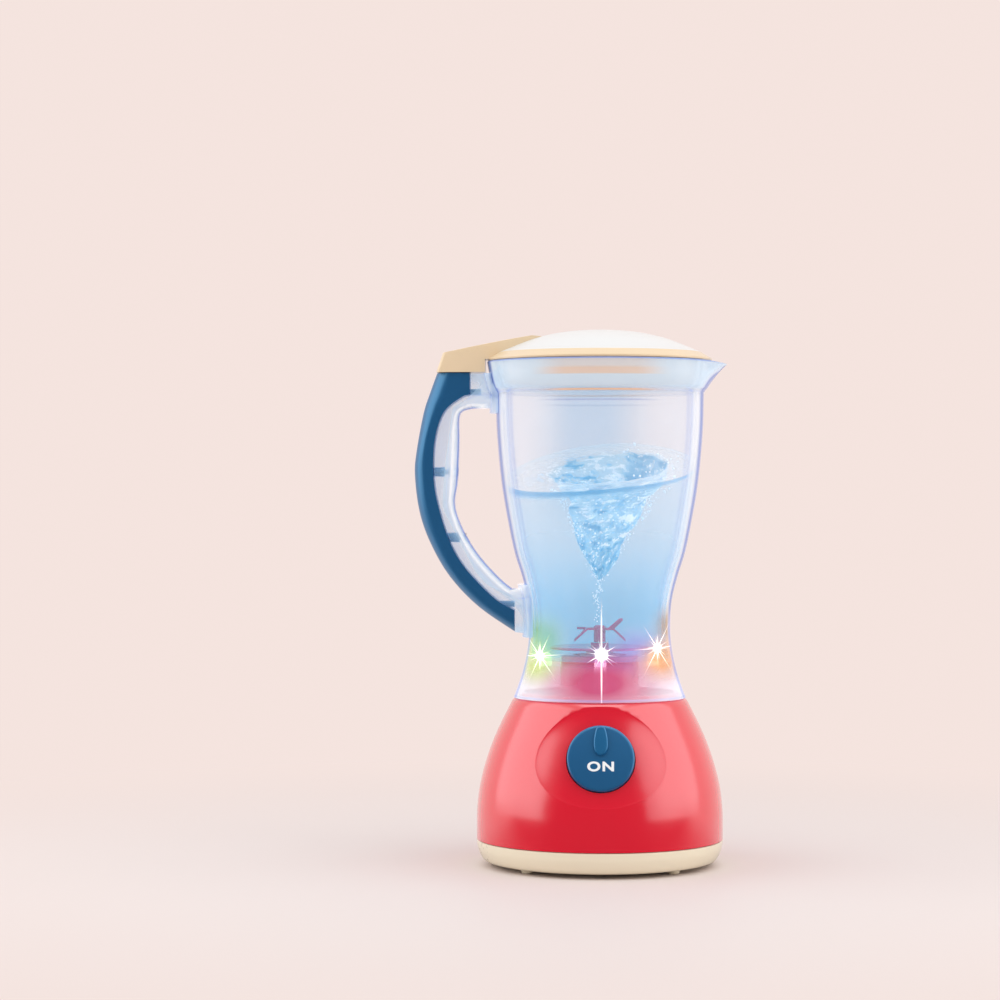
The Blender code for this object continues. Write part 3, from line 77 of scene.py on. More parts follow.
# Shader sockets that can be written as sums
class Wire:
    def __init__(self, sheet, socket):
        self.sheet, self.socket = sheet, socket

    def math(self, operation, first, second=0.0, clamp=False):
        return self.sheet.node("ShaderNodeMath", {"operation": operation, "use_clamp": clamp},
                               {0: first, 1: second})

    def __add__(self, other):
        return self.math("ADD", self, other)

    __radd__ = __add__

    def __sub__(self, other):
        return self.math("SUBTRACT", self, other)

    def __rsub__(self, other):
        return self.math("SUBTRACT", other, self)

    def __mul__(self, other):
        return self.math("MULTIPLY", self, other)

    def __truediv__(self, other):
        return self.math("DIVIDE", self, other)

    def __pow__(self, other):
        return self.math("POWER", self, other)

    def __abs__(self):
        return self.math("ABSOLUTE", self)

    def clamp(self):
        return self.math("ADD", self, 0.0, True)

    def rise(self, low, high):       # 0 below low, 1 above high, smooth between
        return self.sheet.node("ShaderNodeMapRange", {"interpolation_type": "SMOOTHSTEP"},
                               {0: self, 1: low, 2: high, 3: 0.0, 4: 1.0})


def softLine(value, place, width):
    return 1 - abs(value - place).rise(0.0, width)


def span(across, up):
    return (across ** 2.0 + up ** 2.0) ** 0.5


class Sheet:                         # a node tree, of the world or of a material
    def __init__(self, owner):
        owner.use_nodes = True
        self.tree = owner.node_tree

    def node(self, kind, settings=None, sockets=None, output=0):
        made = self.tree.nodes.new(kind)
        for key, value in (settings or {}).items():
            setattr(made, key, value)
        for key, value in (sockets or {}).items():
            self.plug(made.inputs[key], value)
        return Wire(self, made.outputs[output])

    def plug(self, socket, value):
        if isinstance(value, Wire):
            self.tree.links.new(value.socket, socket)
        elif socket.type == "RGBA":
            socket.default_value = (*value, 1)
        else:
            socket.default_value = value

    def mix(self, share, first, second):
        return self.node("ShaderNodeMix", {"data_type": "RGBA"}, {0: share, 6: first, 7: second}, 2)

    def layers(self, colour, *coats):    # each coat is its share and its colour
        colour = finishes.get(colour, colour)
        for share, tint in coats:
            colour = self.mix(share, colour, finishes.get(tint, tint))
        return colour

    def ray(self, kind):
        return self.node("ShaderNodeLightPath", output=f"Is {kind} Ray")

    def blend(self, share, first, second):
        return self.node("ShaderNodeMixShader", None, {0: share, 1: first, 2: second})


class Paint(Sheet):
    def __init__(self, name, slot=""):
        self.material = bpy.data.materials.new(name)
        super().__init__(self.material)
        self.slot = slot
        self.skin = self.tree.nodes["Principled BSDF"]
        self.body = Wire(self, self.skin.outputs[0])
        self.coords = self.node("ShaderNodeTexCoord", output="Object")
        parts = self.node("ShaderNodeSeparateXYZ", None, {0: self.coords}).socket.node
        self.x, self.y, self.z = (Wire(self, socket) for socket in parts.outputs)
        self.x = self.x - axisX      # measured from the toy's axis

    def set(self, **values):         # baseColor=... goes to the Base Color socket
        for key, value in values.items():
            words = "".join(" " + c if c.isupper() else c for c in key)
            name = words[0].upper() + words[1:]
            self.plug(self.skin.inputs[name.replace("Ior", "IOR")], value)

    def glow(self, share, colour, unlit=black):
        self.set(emissionColor=self.mix(share, unlit, colour), emissionStrength=1.0)

    def surface(self, shader):
        self.plug(self.tree.nodes["Material Output"].inputs["Surface"], shader)

    def grain(self, scale, detail=2.0, roughness=0.5, coords=None):
        return self.node("ShaderNodeTexNoise", None, {
            "Vector": coords or self.coords, "Scale": scale, "Detail": detail, "Roughness": roughness})

    def bump(self, height, distance, strength=1.0):
        self.set(normal=self.node("ShaderNodeBump", None, {
            "Height": height, "Distance": distance, "Strength": strength}))

    def flow(self, name):            # a number stored on the piece's own vertices
        return self.node("ShaderNodeAttribute", {"attribute_name": name}, output="Fac")

    def facing(self):
        return self.node("ShaderNodeLayerWeight", None, {"Blend": 0.5}, "Facing")

    def reach(self):                 # how far from the toy's axis
        return span(self.x, self.y)

    def seeThrough(self, share, tint="clearTint"):
        clear = self.node("ShaderNodeBsdfTransparent", None, {"Color": finishes[tint]})
        self.surface(self.blend(share, clear, self.body))


# Mesh helpers
def at(x, y, z):
    return Matrix.Translation((x, y, z))


def outward(bm):
    ops.recalc_face_normals(bm, faces=bm.faces)


def smoothLine(points, cuts):
    padded = [points[0]] + list(points) + [points[-1]]
    line = []
    for p0, p1, p2, p3 in zip(padded, padded[1:], padded[2:], padded[3:]):
        for k in range(cuts):
            t = k / cuts
            line.append(tuple(
                0.5 * (2 * b + (c - a) * t + (2 * a - 5 * b + 4 * c - d) * t * t
                       + (3 * b - a - 3 * c + d) * t ** 3)
                for a, b, c, d in zip(p0, p1, p2, p3)))
    line.append(tuple(points[-1]))
    return line


def shiftLine(line, distance):       # to the right of its run, outward on a rising profile
    moved = []
    for i, (r, z) in enumerate(line):
        before = line[max(i - 1, 0)]
        after = line[min(i + 1, len(line) - 1)]
        run = Vector((after[0] - before[0], after[1] - before[1])).normalized()
        moved.append((r + run.y * distance, z - run.x * distance))
    return moved


def radiusAt(line, height):
    for (r0, z0), (r1, z1) in zip(line, line[1:]):
        low, high = sorted((z0, z1))
        if low <= height <= high and high > low:
            return r0 + (r1 - r0) * (height - z0) / (z1 - z0)
    return line[0][0] if height < line[0][1] else line[-1][0]


def heightAt(line, reach):
    return radiusAt([(z, r) for r, z in line], reach)


def share(low, high, part):
    return low + (high - low) * part


def offsets(r, z, points):           # points given in mm from (r, z)
    return [(r + across * mm, z + up * mm) for across, up in points]


def lathe(profile, steps, closed=False):
    bm = bmesh.new()
    verts = [bm.verts.new((r, 0, z)) for r, z in profile]
    edges = [bm.edges.new(pair) for pair in zip(verts, verts[1:])]
    if closed:
        edges.append(bm.edges.new((verts[-1], verts[0])))
    ops.spin(bm, geom=verts + edges, axis=(0, 0, 1), cent=(0, 0, 0),
                   angle=2 * pi, steps=steps, use_merge=True)
    ops.remove_doubles(bm, verts=bm.verts, dist=0.001 * mm)
    outward(bm)
    return bm


def mark(r, z):
    return round(r / mm, 3), round(z / mm, 3)


def ringTable(profile):
    return {mark(*point): i for i, point in enumerate(profile)}


def ringOf(table, vert):             # which point of the profile a lathed vertex came from
    radius, height = hypot(vert.co.x, vert.co.y) / mm, vert.co.z / mm
    near = (0.0, 0.0005, -0.0005)
    found = [table.get((round(radius + slip, 3), round(height + drop, 3)))
             for slip in near for drop in near]
    return next((ring for ring in found if ring is not None), None)


def prism(points, run):              # a flat outline carried along run, and its far end
    bm = bmesh.new()
    face = bm.faces.new([bm.verts.new(point) for point in points])
    grown = ops.extrude_face_region(bm, geom=[face])
    far = [v for v in grown["geom"] if isinstance(v, bmesh.types.BMVert)]
    ops.translate(bm, verts=far, vec=run)
    outward(bm)
    return bm, far


def slab(outline, width):            # an outline of (x, z), given its width along y
    return prism([(x, -width / 2, z) for x, z in outline], (0, width, 0))[0]


def rod(radius, low, high, place=(0, 0), steps=48):
    bm = bmesh.new()
    ops.create_cone(bm, cap_ends=True, segments=steps, radius1=radius, radius2=radius,
                          depth=high - low, matrix=at(*place, (low + high) / 2))
    return bm


def block(low, high):
    low, high = Vector(low), Vector(high)
    place = at(*(high + low) / 2) @ Matrix.Diagonal((*(high - low), 1))
    bm = bmesh.new()
    ops.create_cube(bm, size=1, matrix=place)
    return bm


def turned(bm, matrix):
    ops.transform(bm, matrix=matrix, verts=bm.verts)
    return bm


def bevelEdges(bm, edges, width, segments):
    ops.bevel(bm, geom=edges, offset=width, offset_type="OFFSET", affect="EDGES",
                    segments=segments, profile=0.5, material=-1, clamp_overlap=True)


def merged(*parts):                  # several bmeshes as one
    whole = parts[0]
    for part in parts[1:]:
        mesh = bpy.data.meshes.new("part")
        part.to_mesh(mesh)
        part.free()
        whole.from_mesh(mesh)
        bpy.data.meshes.remove(mesh)
    return whole


def placed(name, data):
    made = bpy.data.objects.new(name, data)
    scene.collection.objects.link(made)
    return made


def shape(bm, name):
    mesh = bpy.data.meshes.new(name)
    bm.to_mesh(mesh)
    bm.free()
    return placed(name, mesh)


def evaluated(piece):
    graph = bpy.context.evaluated_depsgraph_get()
    return bpy.data.meshes.new_from_object(piece.evaluated_get(graph))


def opened(piece):                   # the piece's mesh to work on, in place of the piece
    bm = bmesh.new()
    bm.from_mesh(evaluated(piece))
    bpy.data.objects.remove(piece, do_unlink=True)
    return bm


def carve(piece, bm, operation="DIFFERENCE"):
    tool = shape(bm, "tool")
    cut = piece.modifiers.new("cut", "BOOLEAN")
    cut.operation, cut.solver, cut.object = operation, "EXACT", tool
    mesh = evaluated(piece)
    piece.modifiers.clear()
    piece.data = mesh
    bpy.data.objects.remove(tool, do_unlink=True)


def middleOf(name):                  # of a node of the model, from the toy's axis
    low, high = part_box(name)
    return (low + high) / 2 - Vector((axisX, 0, 0))


def settle(piece, body, paint, replaced=(), angle=30):
    piece.data.transform(at(axisX, 0, 0))
    piece.data.shade_smooth()
    piece.data.set_sharp_from_angle(angle=radians(angle))
    piece.data.materials.clear()
    piece.data.materials.append(paint.material)
    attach(piece, body)
    for node in replaced:
        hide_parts(node)


# Finishes. Some stand for painted light: the dome's white (highlight), the cover's cream and the rib's navy
# (lighter, lit copies), the flare's pale blue (reflection), the ink blue (the frame's joint shade) and the
# foam white (partly foam, partly highlights).
finishes = dict(
    red=(0.86, 0.001, 0.024), cream=(0.88, 0.67, 0.44), domeHighlight=(0.82, 0.81, 0.80),
    litCoverCream=(0.96, 0.85, 0.65), navy=(0.006, 0.100, 0.270), ribNavy=(0.008, 0.125, 0.310),
    crimson=(0.66, 0.010, 0.20), milk=(0.90, 0.93, 1.0), violet=(0.17, 0.27, 0.63),
    lavender=(0.55, 0.64, 0.93), ice=(0.48, 0.76, 0.97), clearTint=(0.985, 0.990, 1.0),
    waterTint=(0.95, 0.985, 1.0), waterBody=(0.44, 0.78, 0.96), waterLow=(0.10, 0.56, 0.84),
    foam=(0.93, 0.98, 1.0), waterDeep=(0.01, 0.34, 0.63), peach=(0.93, 0.52, 0.27),
    sand=(0.85, 0.66, 0.54), frost=(0.68, 0.82, 0.95), inkBlue=(0.05, 0.11, 0.38),
    sky=(0.34, 0.68, 0.98), starWhite=(1.0, 0.98, 0.95), dropBlue=(0.35, 0.68, 0.90))

# Soft light in the jar's foot, painted on the jar's wall as glowing colour: colour, place (x, z) from the
# axis, spread, depth
glows = [
    ((0.92, 0.72, 0.86), (2, 90), (62, 16), 0.24),
    ((0.90, 0.94, 1.00), (-38, 88), (24, 14), 0.28),
    ((0.93, 0.92, 1.00), (40, 88), (22, 12), 0.30),
    ((0.50, 0.24, 0.52), (4, 103), (34, 11), 0.22),
    ((0.56, 0.36, 0.72), (18, 110), (22, 16), 0.18),
    ((0.62, 0.12, 0.25), (-1, 94), (42, 18), 0.34),
    ((0.38, 0.61, 0.24), (-29, 114), (19, 21), 0.22),
    ((0.64, 0.78, 0.26), (-33, 103), (16, 15), 0.26),
    ((0.50, 0.32, 0.20), (36, 121), (15, 15), 0.28),
    ((0.86, 0.40, 0.13), (32, 105), (19, 15), 0.36)]

# Glints painted on the jar's foot as bright light stars: place, core, reach, upright beam, turn, light
stars = [
    ((-30, 106.5), 2.6, 17.0, 8.0, 126.0, 1.0),
    ((0.5, 108.0), 3.5, 11.0, 31.0, 30.0, 1.5),
    ((28.5, 110.5), 2.6, 19.0, 8.0, 62.0, 1.0)]


def dimmed(colour, part):
    return tuple(c * part for c in colour)


def plastic(slot, colour, roughness, coat=0.0, gloss=0.05, peel=0.012, name=None):
    paint = Paint(name or slot, slot)
    cloud = paint.grain(9.0, 3.0)
    paint.set(baseColor=paint.mix(cloud, colour, dimmed(colour, 0.96)),
              roughness=cloud * 0.05 + paint.grain(420.0) * 0.03 + (roughness - 0.04),
              coatWeight=coat, coatRoughness=gloss)
    paint.bump(paint.grain(150.0), peel * mm)
    return paint


def metal(slot, colour, roughness, brush=900.0):
    paint = Paint(slot, slot)
    lines = paint.grain(brush)
    paint.set(baseColor=paint.mix(lines, colour, dimmed(colour, 0.8)), metallic=1.0,
              roughness=lines * 0.2 + (roughness - 0.1))
    paint.bump(lines, 0.01 * mm)
    return paint


def lidPlastic():
    paint = Paint("lid_plastic", "cream_plastic")
    cloud = paint.grain(9.0, 3.0)
    # painted highlight: the dome inside the crease is painted near white, standing in for the top light
    # falling on the same cream plastic
    crease = lid["creaseRadius"] * mm
    dome = 1 - paint.reach().rise(crease - 0.25 * mm, crease + 0.05 * mm)
    dome = dome * paint.z.rise(rimZ, rimZ + 1 * mm)
    creamTint = paint.layers("cream", (cloud, dimmed(finishes["cream"], 0.95)))
    paint.set(baseColor=paint.layers(creamTint, (dome, "domeHighlight")),
              roughness=cloud * 0.04 + 0.26, coatWeight=0.4 - dome * 0.3, coatRoughness=0.08)
    # painted light: the skirt glows a little, standing in for light scattered through the clear jar
    paint.glow(1 - paint.z.rise(rimZ - 0.6 * mm, rimZ + 0.2 * mm), lid["skirtLight"])
    paint.bump(paint.grain(150.0), 0.004 * mm)
    return paint


def framePlastic():
    paint = Paint("frame_clear", "clear_plastic")
    across = paint.flow("across")    # 0 on the finger side, 1 against the grip
    cloud = paint.grain(60.0, 3.0, 0.6)
    wobbly = across + (cloud - 0.5) * 0.10
    # painted reflections on the clear frame: violet edge lines on the finger side, at grazing angles and
    # along a streak, and a white highlight band (shine)
    edge = (softLine(across, 0.0, 0.12) + paint.facing() ** 2.0 * 0.6
            + softLine(wobbly, 0.50, 0.04) * 0.35 + softLine(across, 1.0, 0.10) * 0.3).clamp()
    shine = softLine(wobbly, 0.24, 0.17)
    # painted shade: ink-blue patches where the frame meets the jar, standing in for the shadows in the
    # joint
    jointShade = (softLine(paint.reach(), 55 * mm, 3 * mm) * paint.z.rise(228 * mm, 240 * mm)
             * cloud.rise(0.42, 0.56))
    colour = paint.layers("milk", (across.rise(0.25, 0.75) * 0.7 + 0.3, "ice"), (edge, "violet"),
                          (shine, plain), (jointShade, "inkBlue"))
    veil = (edge * 0.40 + shine * 0.36 + cloud * 0.14 + 0.36).clamp()
    veil = (veil * (1 - across.rise(0.60, 0.85) * 0.5) + jointShade * 0.4).clamp()
    paint.set(baseColor=colour, roughness=cloud * 0.06 + 0.06)
    # painted light: the frame glows a little of its own colour
    paint.glow(0.20, colour)
    paint.bump(paint.grain(45.0), 0.12 * mm)
    paint.seeThrough(veil)
    return paint


def starLight(paint, place, core, reach, upright, turn, light):
    across, up = ((wire - middle * mm) / mm for wire, middle in zip((paint.x, paint.z), place))
    away, angle = span(across, up), up.math("ARCTAN2", up, across)

    def rays(count, start, thin, blunt):
        return abs(angle.math("COSINE", angle * count - start)) ** (away * away * thin + blunt)

    bright = (1 - away.rise(core * 0.3, core * 1.25)) * light
    bright = bright + (rays(5.0, -0.6, 4.0, 8.0) * 0.8 * (1 - away.rise(core, core * 2.6))
                       + rays(3.0, radians(turn * 3), 5.0, 12.0)
                       * (1 - away.rise(core * 0.5, reach)) ** 1.5)
    return bright + softLine(across, 0.0, 0.6) * (1 - abs(up).rise(upright * 0.3, upright))


def jarPlastic():
    paint = Paint("jar_plastic", "clear_plastic")
    x, y, z = paint.x, paint.y, paint.z
    cloud = paint.grain(14.0)
    # painted reflections: white and lavender bands and a violet edge line on the clear walls, set by facing
    rim = paint.facing()             # thick clear walls: white, then violet towards the edge
    outside = paint.flow("outside")
    high = z.rise(106 * mm, 122 * mm)
    wall = softLine(rim, 0.68, 0.12) * high
    streak = softLine(rim, 0.54, 0.06) * high
    line = rim.rise(0.68, 0.80) * (outside * 0.85 + 0.15)
    blue = (1 - abs(x + 5 * mm).rise(6 * mm, 36 * mm)) * z.rise(150 * mm, 195 * mm) * outside
    colour = paint.layers("milk", (blue, "sky"), (streak, "lavender"), (wall, plain), (line, "violet"))
    veil = (line * 0.72 + wall * 0.34 + streak * 0.16 + cloud * 0.02 + high * 0.03
            + z.rise(150 * mm, 200 * mm) * 0.11 + blue * 0.08 + 0.04)
    lit = shine = 0.0
    # painted light: each soft glow of the foot's lamps tints and lights the jar's wall
    for tint, (placeX, placeZ), (wide, tall), depth in glows:
        soft = 1 - span((x - placeX * mm) / (wide * mm), (z - placeZ * mm) / (tall * mm)).rise(0.0, 1.0)
        colour = paint.mix((soft * 1.2).clamp() * (1 - line * 0.8), colour, tint)
        veil = soft * depth + veil
        lit = soft + lit
    # painted glints: light stars drawn on the front of the jar's outer wall
    for star in stars:
        shine = starLight(paint, *star) + shine
    shine = (shine * (1 - y.rise(-12 * mm, -4 * mm)) * outside).clamp()

    def above(low, top):             # from the shoulder, in mm
        return z.rise(shoulderZ + low * mm, shoulderZ + top * mm)

    # painted reflections on the outer wall: violet lines at the foot, lip, bead and below the shoulder, a
    # pale blue band over the flare, and warm bands standing in for the lid's skirt seen through the flare
    foot = softLine(z, footZ + 0.9 * mm, 1.0 * mm) * outside
    lip = softLine(z, rimZ - 0.3 * mm, 0.8 * mm) * outside
    bead = softLine(z, shoulderZ + 0.4 * mm, 1.1 * mm) * outside
    middle = (1 - abs(x).rise(16 * mm, 36 * mm)) * outside
    flare, warm = above(0.5, 2.5), above(7.6, 8.2) * middle
    amber = warm * (1 - above(10.6, 12.2))
    under = softLine(z, shoulderZ - 4.6 * mm, 0.8 * mm) * middle
    colour = paint.layers(colour, (flare * (1 - line), "frost"), (warm * 0.6, "sand"),
                          (amber * 0.7, "peach"),
                          ((foot * 0.5 + lip * 0.9 + bead * 0.4 + under).clamp(), "violet"),
                          ((bead * middle).clamp(), "peach"), (shine, "starWhite"))
    veil = (veil + foot * 0.45 + lip * 0.5 + bead * (middle * 0.3 + 0.35) + under * 0.2
            + flare * 0.26 + shine).clamp()
    paint.set(baseColor=colour, roughness=cloud * 0.05 + 0.05)
    # painted light: the whole jar glows a little, more under the foot's soft light, and fully at the glints
    paint.glow(((lit.clamp() * 0.18 + 0.10) * (1 - shine) + shine).clamp(), colour)
    paint.bump(paint.grain(40.0, 1.0), 0.04 * mm)
    paint.seeThrough(veil)
    return paint


def waterLook():
    paint = Paint("water", "clear_plastic")
    # below: millimetres under the waterline on the wall; whirl: 1 in the funnel and on its ring;
    # top: 1 on the open surface; above: 1 where the wall rises over the waterline
    below, whirl, top, above, strokeX, strokeY, run = (paint.flow(name) for name in waterLayers)
    along = paint.node("ShaderNodeCombineXYZ", None, {0: strokeX * 2.6, 1: strokeY * 2.6, 2: run * 0.26})
    stroke = paint.grain(1.0, 6.0, 0.62, along)
    fleck = paint.grain(320.0, 3.0, 0.7)
    deep = 1 - stroke.rise(0.38, 0.50)
    # white in the whirl and on the open surface: partly foam, partly painted highlights of the rippled
    # water
    white = (stroke.rise(0.54, 0.62) + fleck.rise(0.60, 0.68)).clamp()
    back = paint.y.rise(-6 * mm, 4 * mm)
    under = below / (3.7 - paint.x * 34.0)
    line = under.rise(0.02, 0.14) * (1 - under.rise(0.45, 1.25)) * (1 - top) * (1 - back)
    low = 1 - paint.z.rise(122 * mm, 190 * mm)
    pool = span((paint.x - 21 * mm) / (15 * mm), (paint.y - 13 * mm) / (17 * mm))
    pool = (1 - pool.rise(0.45, 1.0)) * top
    solid = whirl.rise(0.75, 1.0)
    colour = paint.layers("waterBody", (low, "waterLow"), (top * (1 - solid), "foam"),
                          ((line + deep * whirl + pool * 0.8).clamp(), "waterDeep"),
                          ((whirl * white * (1 - pool * 0.6)).clamp(), "foam"))
    body = low * (back * 0.41 + 0.04) + line * 0.74 + back * 0.10 + 0.13
    whirling = whirl * (deep * 0.95 + white * 0.5) + solid * 0.18 + pool * 0.7 + 0.34
    paint.set(baseColor=colour, roughness=stroke * 0.08 + 0.06, specularIorLevel=0.6)
    # painted light: the water glows a little of its own colour
    paint.glow(0.30, colour)
    paint.bump(stroke * whirl, 1.2 * mm, 0.7)
    paint.seeThrough(((1 - top) * body * (1 - above) + top * whirling).clamp(), "waterTint")
    return paint


def dropLook():
    paint = Paint("drops", "clear_plastic")
    colour = paint.layers("foam", (paint.facing() ** 1.5, "dropBlue"))
    paint.set(baseColor=colour, roughness=paint.grain(200.0) * 0.05 + 0.05)
    # painted light: the drops and bubbles glow a little of their own colour
    paint.glow(0.30, colour)
    return paint


def lampLook(name, colour):
    paint = Paint(name, "clear_plastic")
    tip = paint.z.rise(floorZ - 7 * mm, floorZ - 2 * mm)
    paint.set(baseColor=paint.layers("milk", (tip, colour)),
              roughness=paint.grain(300.0) * 0.05 + 0.08)
    paint.glow(tip, paint.mix(0.5, colour, plain), (0.05, 0.05, 0.06))
    paint.seeThrough((tip * 0.6 + paint.facing() ** 2.0 * 0.2 + 0.10).clamp())
    return paint


# Base: red shell with its deck, ring, turret and dish
base = dict(
    steps=160, topRadius=43.5, wall=2.2, turretRadius=20.0, turretEdge=1.2, recessRadius=13.5,
    ringWall=2.0, ringHeight=3.0, ringAir=0.5, softEdge=0.4, pipeHole=3.4, curve=[(0, 1), (0.148, 1),
    (0.251, 0.978), (0.388, 0.909), (0.543, 0.758), (0.697, 0.554), (0.835, 0.317), (1, 0)],
    dishSide=34.6, dishAbove=24.8, dishDepth=1.7, dishLip=0.5, buttonHeight=0.64, buttonTilt=19.0,
    buttonRadius=16.5, buttonAir=0.45, sleeveDepth=11.0, sleeveWall=2.8)

jar = dict(
    steps=192, wall=2.0, waist=35.6, mouth=52.5, flare=4.4, waistHeight=36.7, shoulderDrop=16.0,
    bead=0.8, beadHeight=1.4, floor=2.0, hole=7.3, footCurve=[(0, 1), (0.136, 0.756), (0.335, 0.449),
    (0.567, 0.192), (0.8, 0.038), (1, 0)], bellCurve=[(0.104, 0.047), (0.208, 0.219), (0.313, 0.444),
    (0.458, 0.651), (0.626, 0.84), (0.835, 0.97), (1, 1)], rimCurve=[(0, 0), (0.25, 0.11), (0.6, 0.42),
    (0.85, 0.78), (1, 1)], beakAngle=24.0, beakDip=1.2, beakSharp=1.6, beakScoop=1.7)

baseLine = smoothLine([(share(base["topRadius"] * mm, baseRadius, w), share(seamZ, deckZ, h))
                       for h, w in base["curve"]], 6)
waistZ = footZ + jar["waistHeight"] * mm
shoulderZ = rimZ - jar["shoulderDrop"] * mm
footRadius = (base["topRadius"] - 0.1) * mm
bodyLine = [(share(jar["waist"] * mm, footRadius, w), share(footZ, waistZ, h)) for h, w in jar["footCurve"]]
bodyLine += [(share(jar["waist"], jar["mouth"], w) * mm, share(waistZ, shoulderZ, h))
             for h, w in jar["bellCurve"]]
flareStart = ((jar["mouth"] + jar["bead"]) * mm, shoulderZ + jar["beadHeight"] * mm)
rimRadius = (jar["mouth"] + jar["flare"]) * mm
rimLine = [(share(flareStart[0], rimRadius, w), share(flareStart[1], rimZ - 0.4 * mm, h))
           for h, w in [(p[1], p[0]) for p in jar["rimCurve"]]]
jarLine = smoothLine(bodyLine, 6) + smoothLine(rimLine, 5)
jarInner = shiftLine(jarLine, -jar["wall"] * mm)

buttonZ = share(seamZ, deckZ, base["buttonHeight"])
faceRadius = radiusAt(baseLine, buttonZ)
buttonPlace = at(0, -faceRadius, buttonZ) @ Matrix.Rotation(
    radians(90 - base["buttonTilt"]), 4, "X")
pipeSpots = [middleOf(f"light_pipe_{side}") for side in ("front", "right", "left")]


def dishTool():
    bm = bmesh.new()
    ops.create_uvsphere(bm, u_segments=96, v_segments=64, radius=1)
    for vert in bm.verts:
        angle = vert.co.x * base["dishSide"] * mm / faceRadius
        height = buttonZ + vert.co.y * base["dishAbove"] * mm
        depth = base["dishLip"] * mm + vert.co.z * (base["dishDepth"] + base["dishLip"]) * mm
        radius = radiusAt(baseLine, height) + depth
        vert.co = (radius * sin(angle), -radius * cos(angle), height)
    bm.normal_update()
    outward(bm)
    return bm


def makeBase(red):
    top, ringTop = shellHigh.z, deckZ + base["ringHeight"] * mm
    ring = radiusAt(jarInner, ringTop) - base["ringAir"] * mm
    turret, recess = base["turretRadius"] * mm, base["recessRadius"] * mm
    wall, edge, soft = base["wall"] * mm, base["turretEdge"], base["softEdge"]
    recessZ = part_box("drive_coupler")[0].z - 0.4 * mm
    profile = [(0, recessZ), (recess, recessZ)] + offsets(recess, top, [(0, -soft), (soft, 0)])
    profile += offsets(turret, top, [(-edge, 0), (-edge * 0.3, -edge * 0.3), (0, -edge)])
    profile += offsets(turret, deckZ, [(0, 0.6), (0.6, 0)])
    profile += [(ring - base["ringWall"] * mm, z) for z in (deckZ, ringTop)]
    profile += offsets(ring, ringTop, [(-soft, 0), (0, -soft)])
    profile += [(ring, deckZ), ((base["topRadius"] - 0.8) * mm, deckZ)]
    profile += [(r, z) for r, z in baseLine[::-1] if z < deckZ - 0.6 * mm]
    profile += [(baseRadius - wall, seamZ)]
    profile += [(r, z) for r, z in shiftLine(baseLine, -wall)[1:] if z < deckZ - wall]
    profile += [(turret - 2 * mm, deckZ - wall), (turret - 2 * mm, recessZ - 2 * mm),
                (0, recessZ - 2 * mm)]
    shell = shape(lathe(profile, base["steps"]), "redShell")
    radius, depth = base["buttonRadius"], base["sleeveDepth"]
    sleeve = rod((radius + base["sleeveWall"]) * mm, -depth * mm, -1.5 * mm, steps=96)
    carve(shell, turned(sleeve, buttonPlace), "UNION")
    carve(shell, dishTool())
    hole = rod((radius + base["buttonAir"]) * mm, -(depth + 3) * mm, 12 * mm, steps=128)
    carve(shell, turned(hole, buttonPlace))
    for spot in pipeSpots:
        carve(shell, rod(base["pipeHole"] * mm, deckZ - 5 * mm, deckZ + 5 * mm, (spot.x, spot.y)))
    settle(shell, "base", red, ["base_shell"], 26)


cover = dict(
    inset=7.1, lift=2.0, wall=2.0, lipInset=2.5, lipWall=1.6, lipHeight=3.0, doorAir=0.35, screwHole=3.3,
    footInset=11.2, footRadius=3.2)


def makeCover(cream):
    flat, low, wall = baseRadius - cover["inset"] * mm, cover["lift"] * mm, cover["wall"] * mm
    seat, tall, thin = seamZ - 0.35 * mm, cover["lipHeight"], cover["lipWall"]
    side = offsets(flat, low, [(0, 0), (3.7, 1.2), (6.3, 6)]) + [(baseRadius, seat - 0.3 * mm)]
    profile = [(0, low), (flat - 4 * mm, low)] + smoothLine(side, 8) + [(baseRadius - 0.3 * mm, seat)]
    profile += offsets(baseRadius - cover["lipInset"] * mm, seat,
                       [(0, 0), (0, tall), (-thin, tall), (-thin, -tall)])
    profile += [(flat, low + wall), (0, low + wall)]
    tray = shape(lathe(profile, base["steps"]), "creamCover")
    air, shift = Vector((cover["doorAir"] * mm,) * 3), Vector((axisX, 0, 0))
    doorLow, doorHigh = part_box("battery_door")
    carve(tray, block(doorLow - air - shift, doorHigh + air - shift))
    for i in range(4):
        middle = middleOf(f"cover_screw_{i + 1}")
        carve(tray, rod(cover["screwHole"] * mm, -1 * mm, 20 * mm, (middle.x, middle.y), 32))
    settle(tray, "base", cream, ["base_cover"], 32)

    radius = cover["footRadius"]
    nub = smoothLine([(radius - 1.3, 0.0), (radius - 0.3, 0.6), (radius, 1.5)], 4)
    nub = offsets(0, 0, [(0, 0)] + nub + [(radius, 2.6), (0, 2.6)])
    place = at(baseRadius - cover["footInset"] * mm, 0, 0)
    feet = [turned(lathe(nub, 32), Matrix.Rotation(pi / 4 + i * pi / 2, 4, "Z") @ place) for i in range(4)]
    settle(shape(merged(*feet), "creamFeet"), "base", cream, [], 40)


# Button with its rib and word
button = dict(
    radius=16.5, crown=0.9, edge=0.9, proud=0.2, ribLength=14.5, ribWidth=7.0, ribHeight=1.5,
    ribRound=0.8, word="ON", wordSize=6.4, wordDrop=4.6, wordStretch=1.25, ribCurve=[(0, 0),
    (0.36, 0.022), (0.7, 0.095), (0.94, 0.24), (1, 0.41), (0.93, 0.62), (0.76, 0.82), (0.52, 0.96),
    (0, 1)])


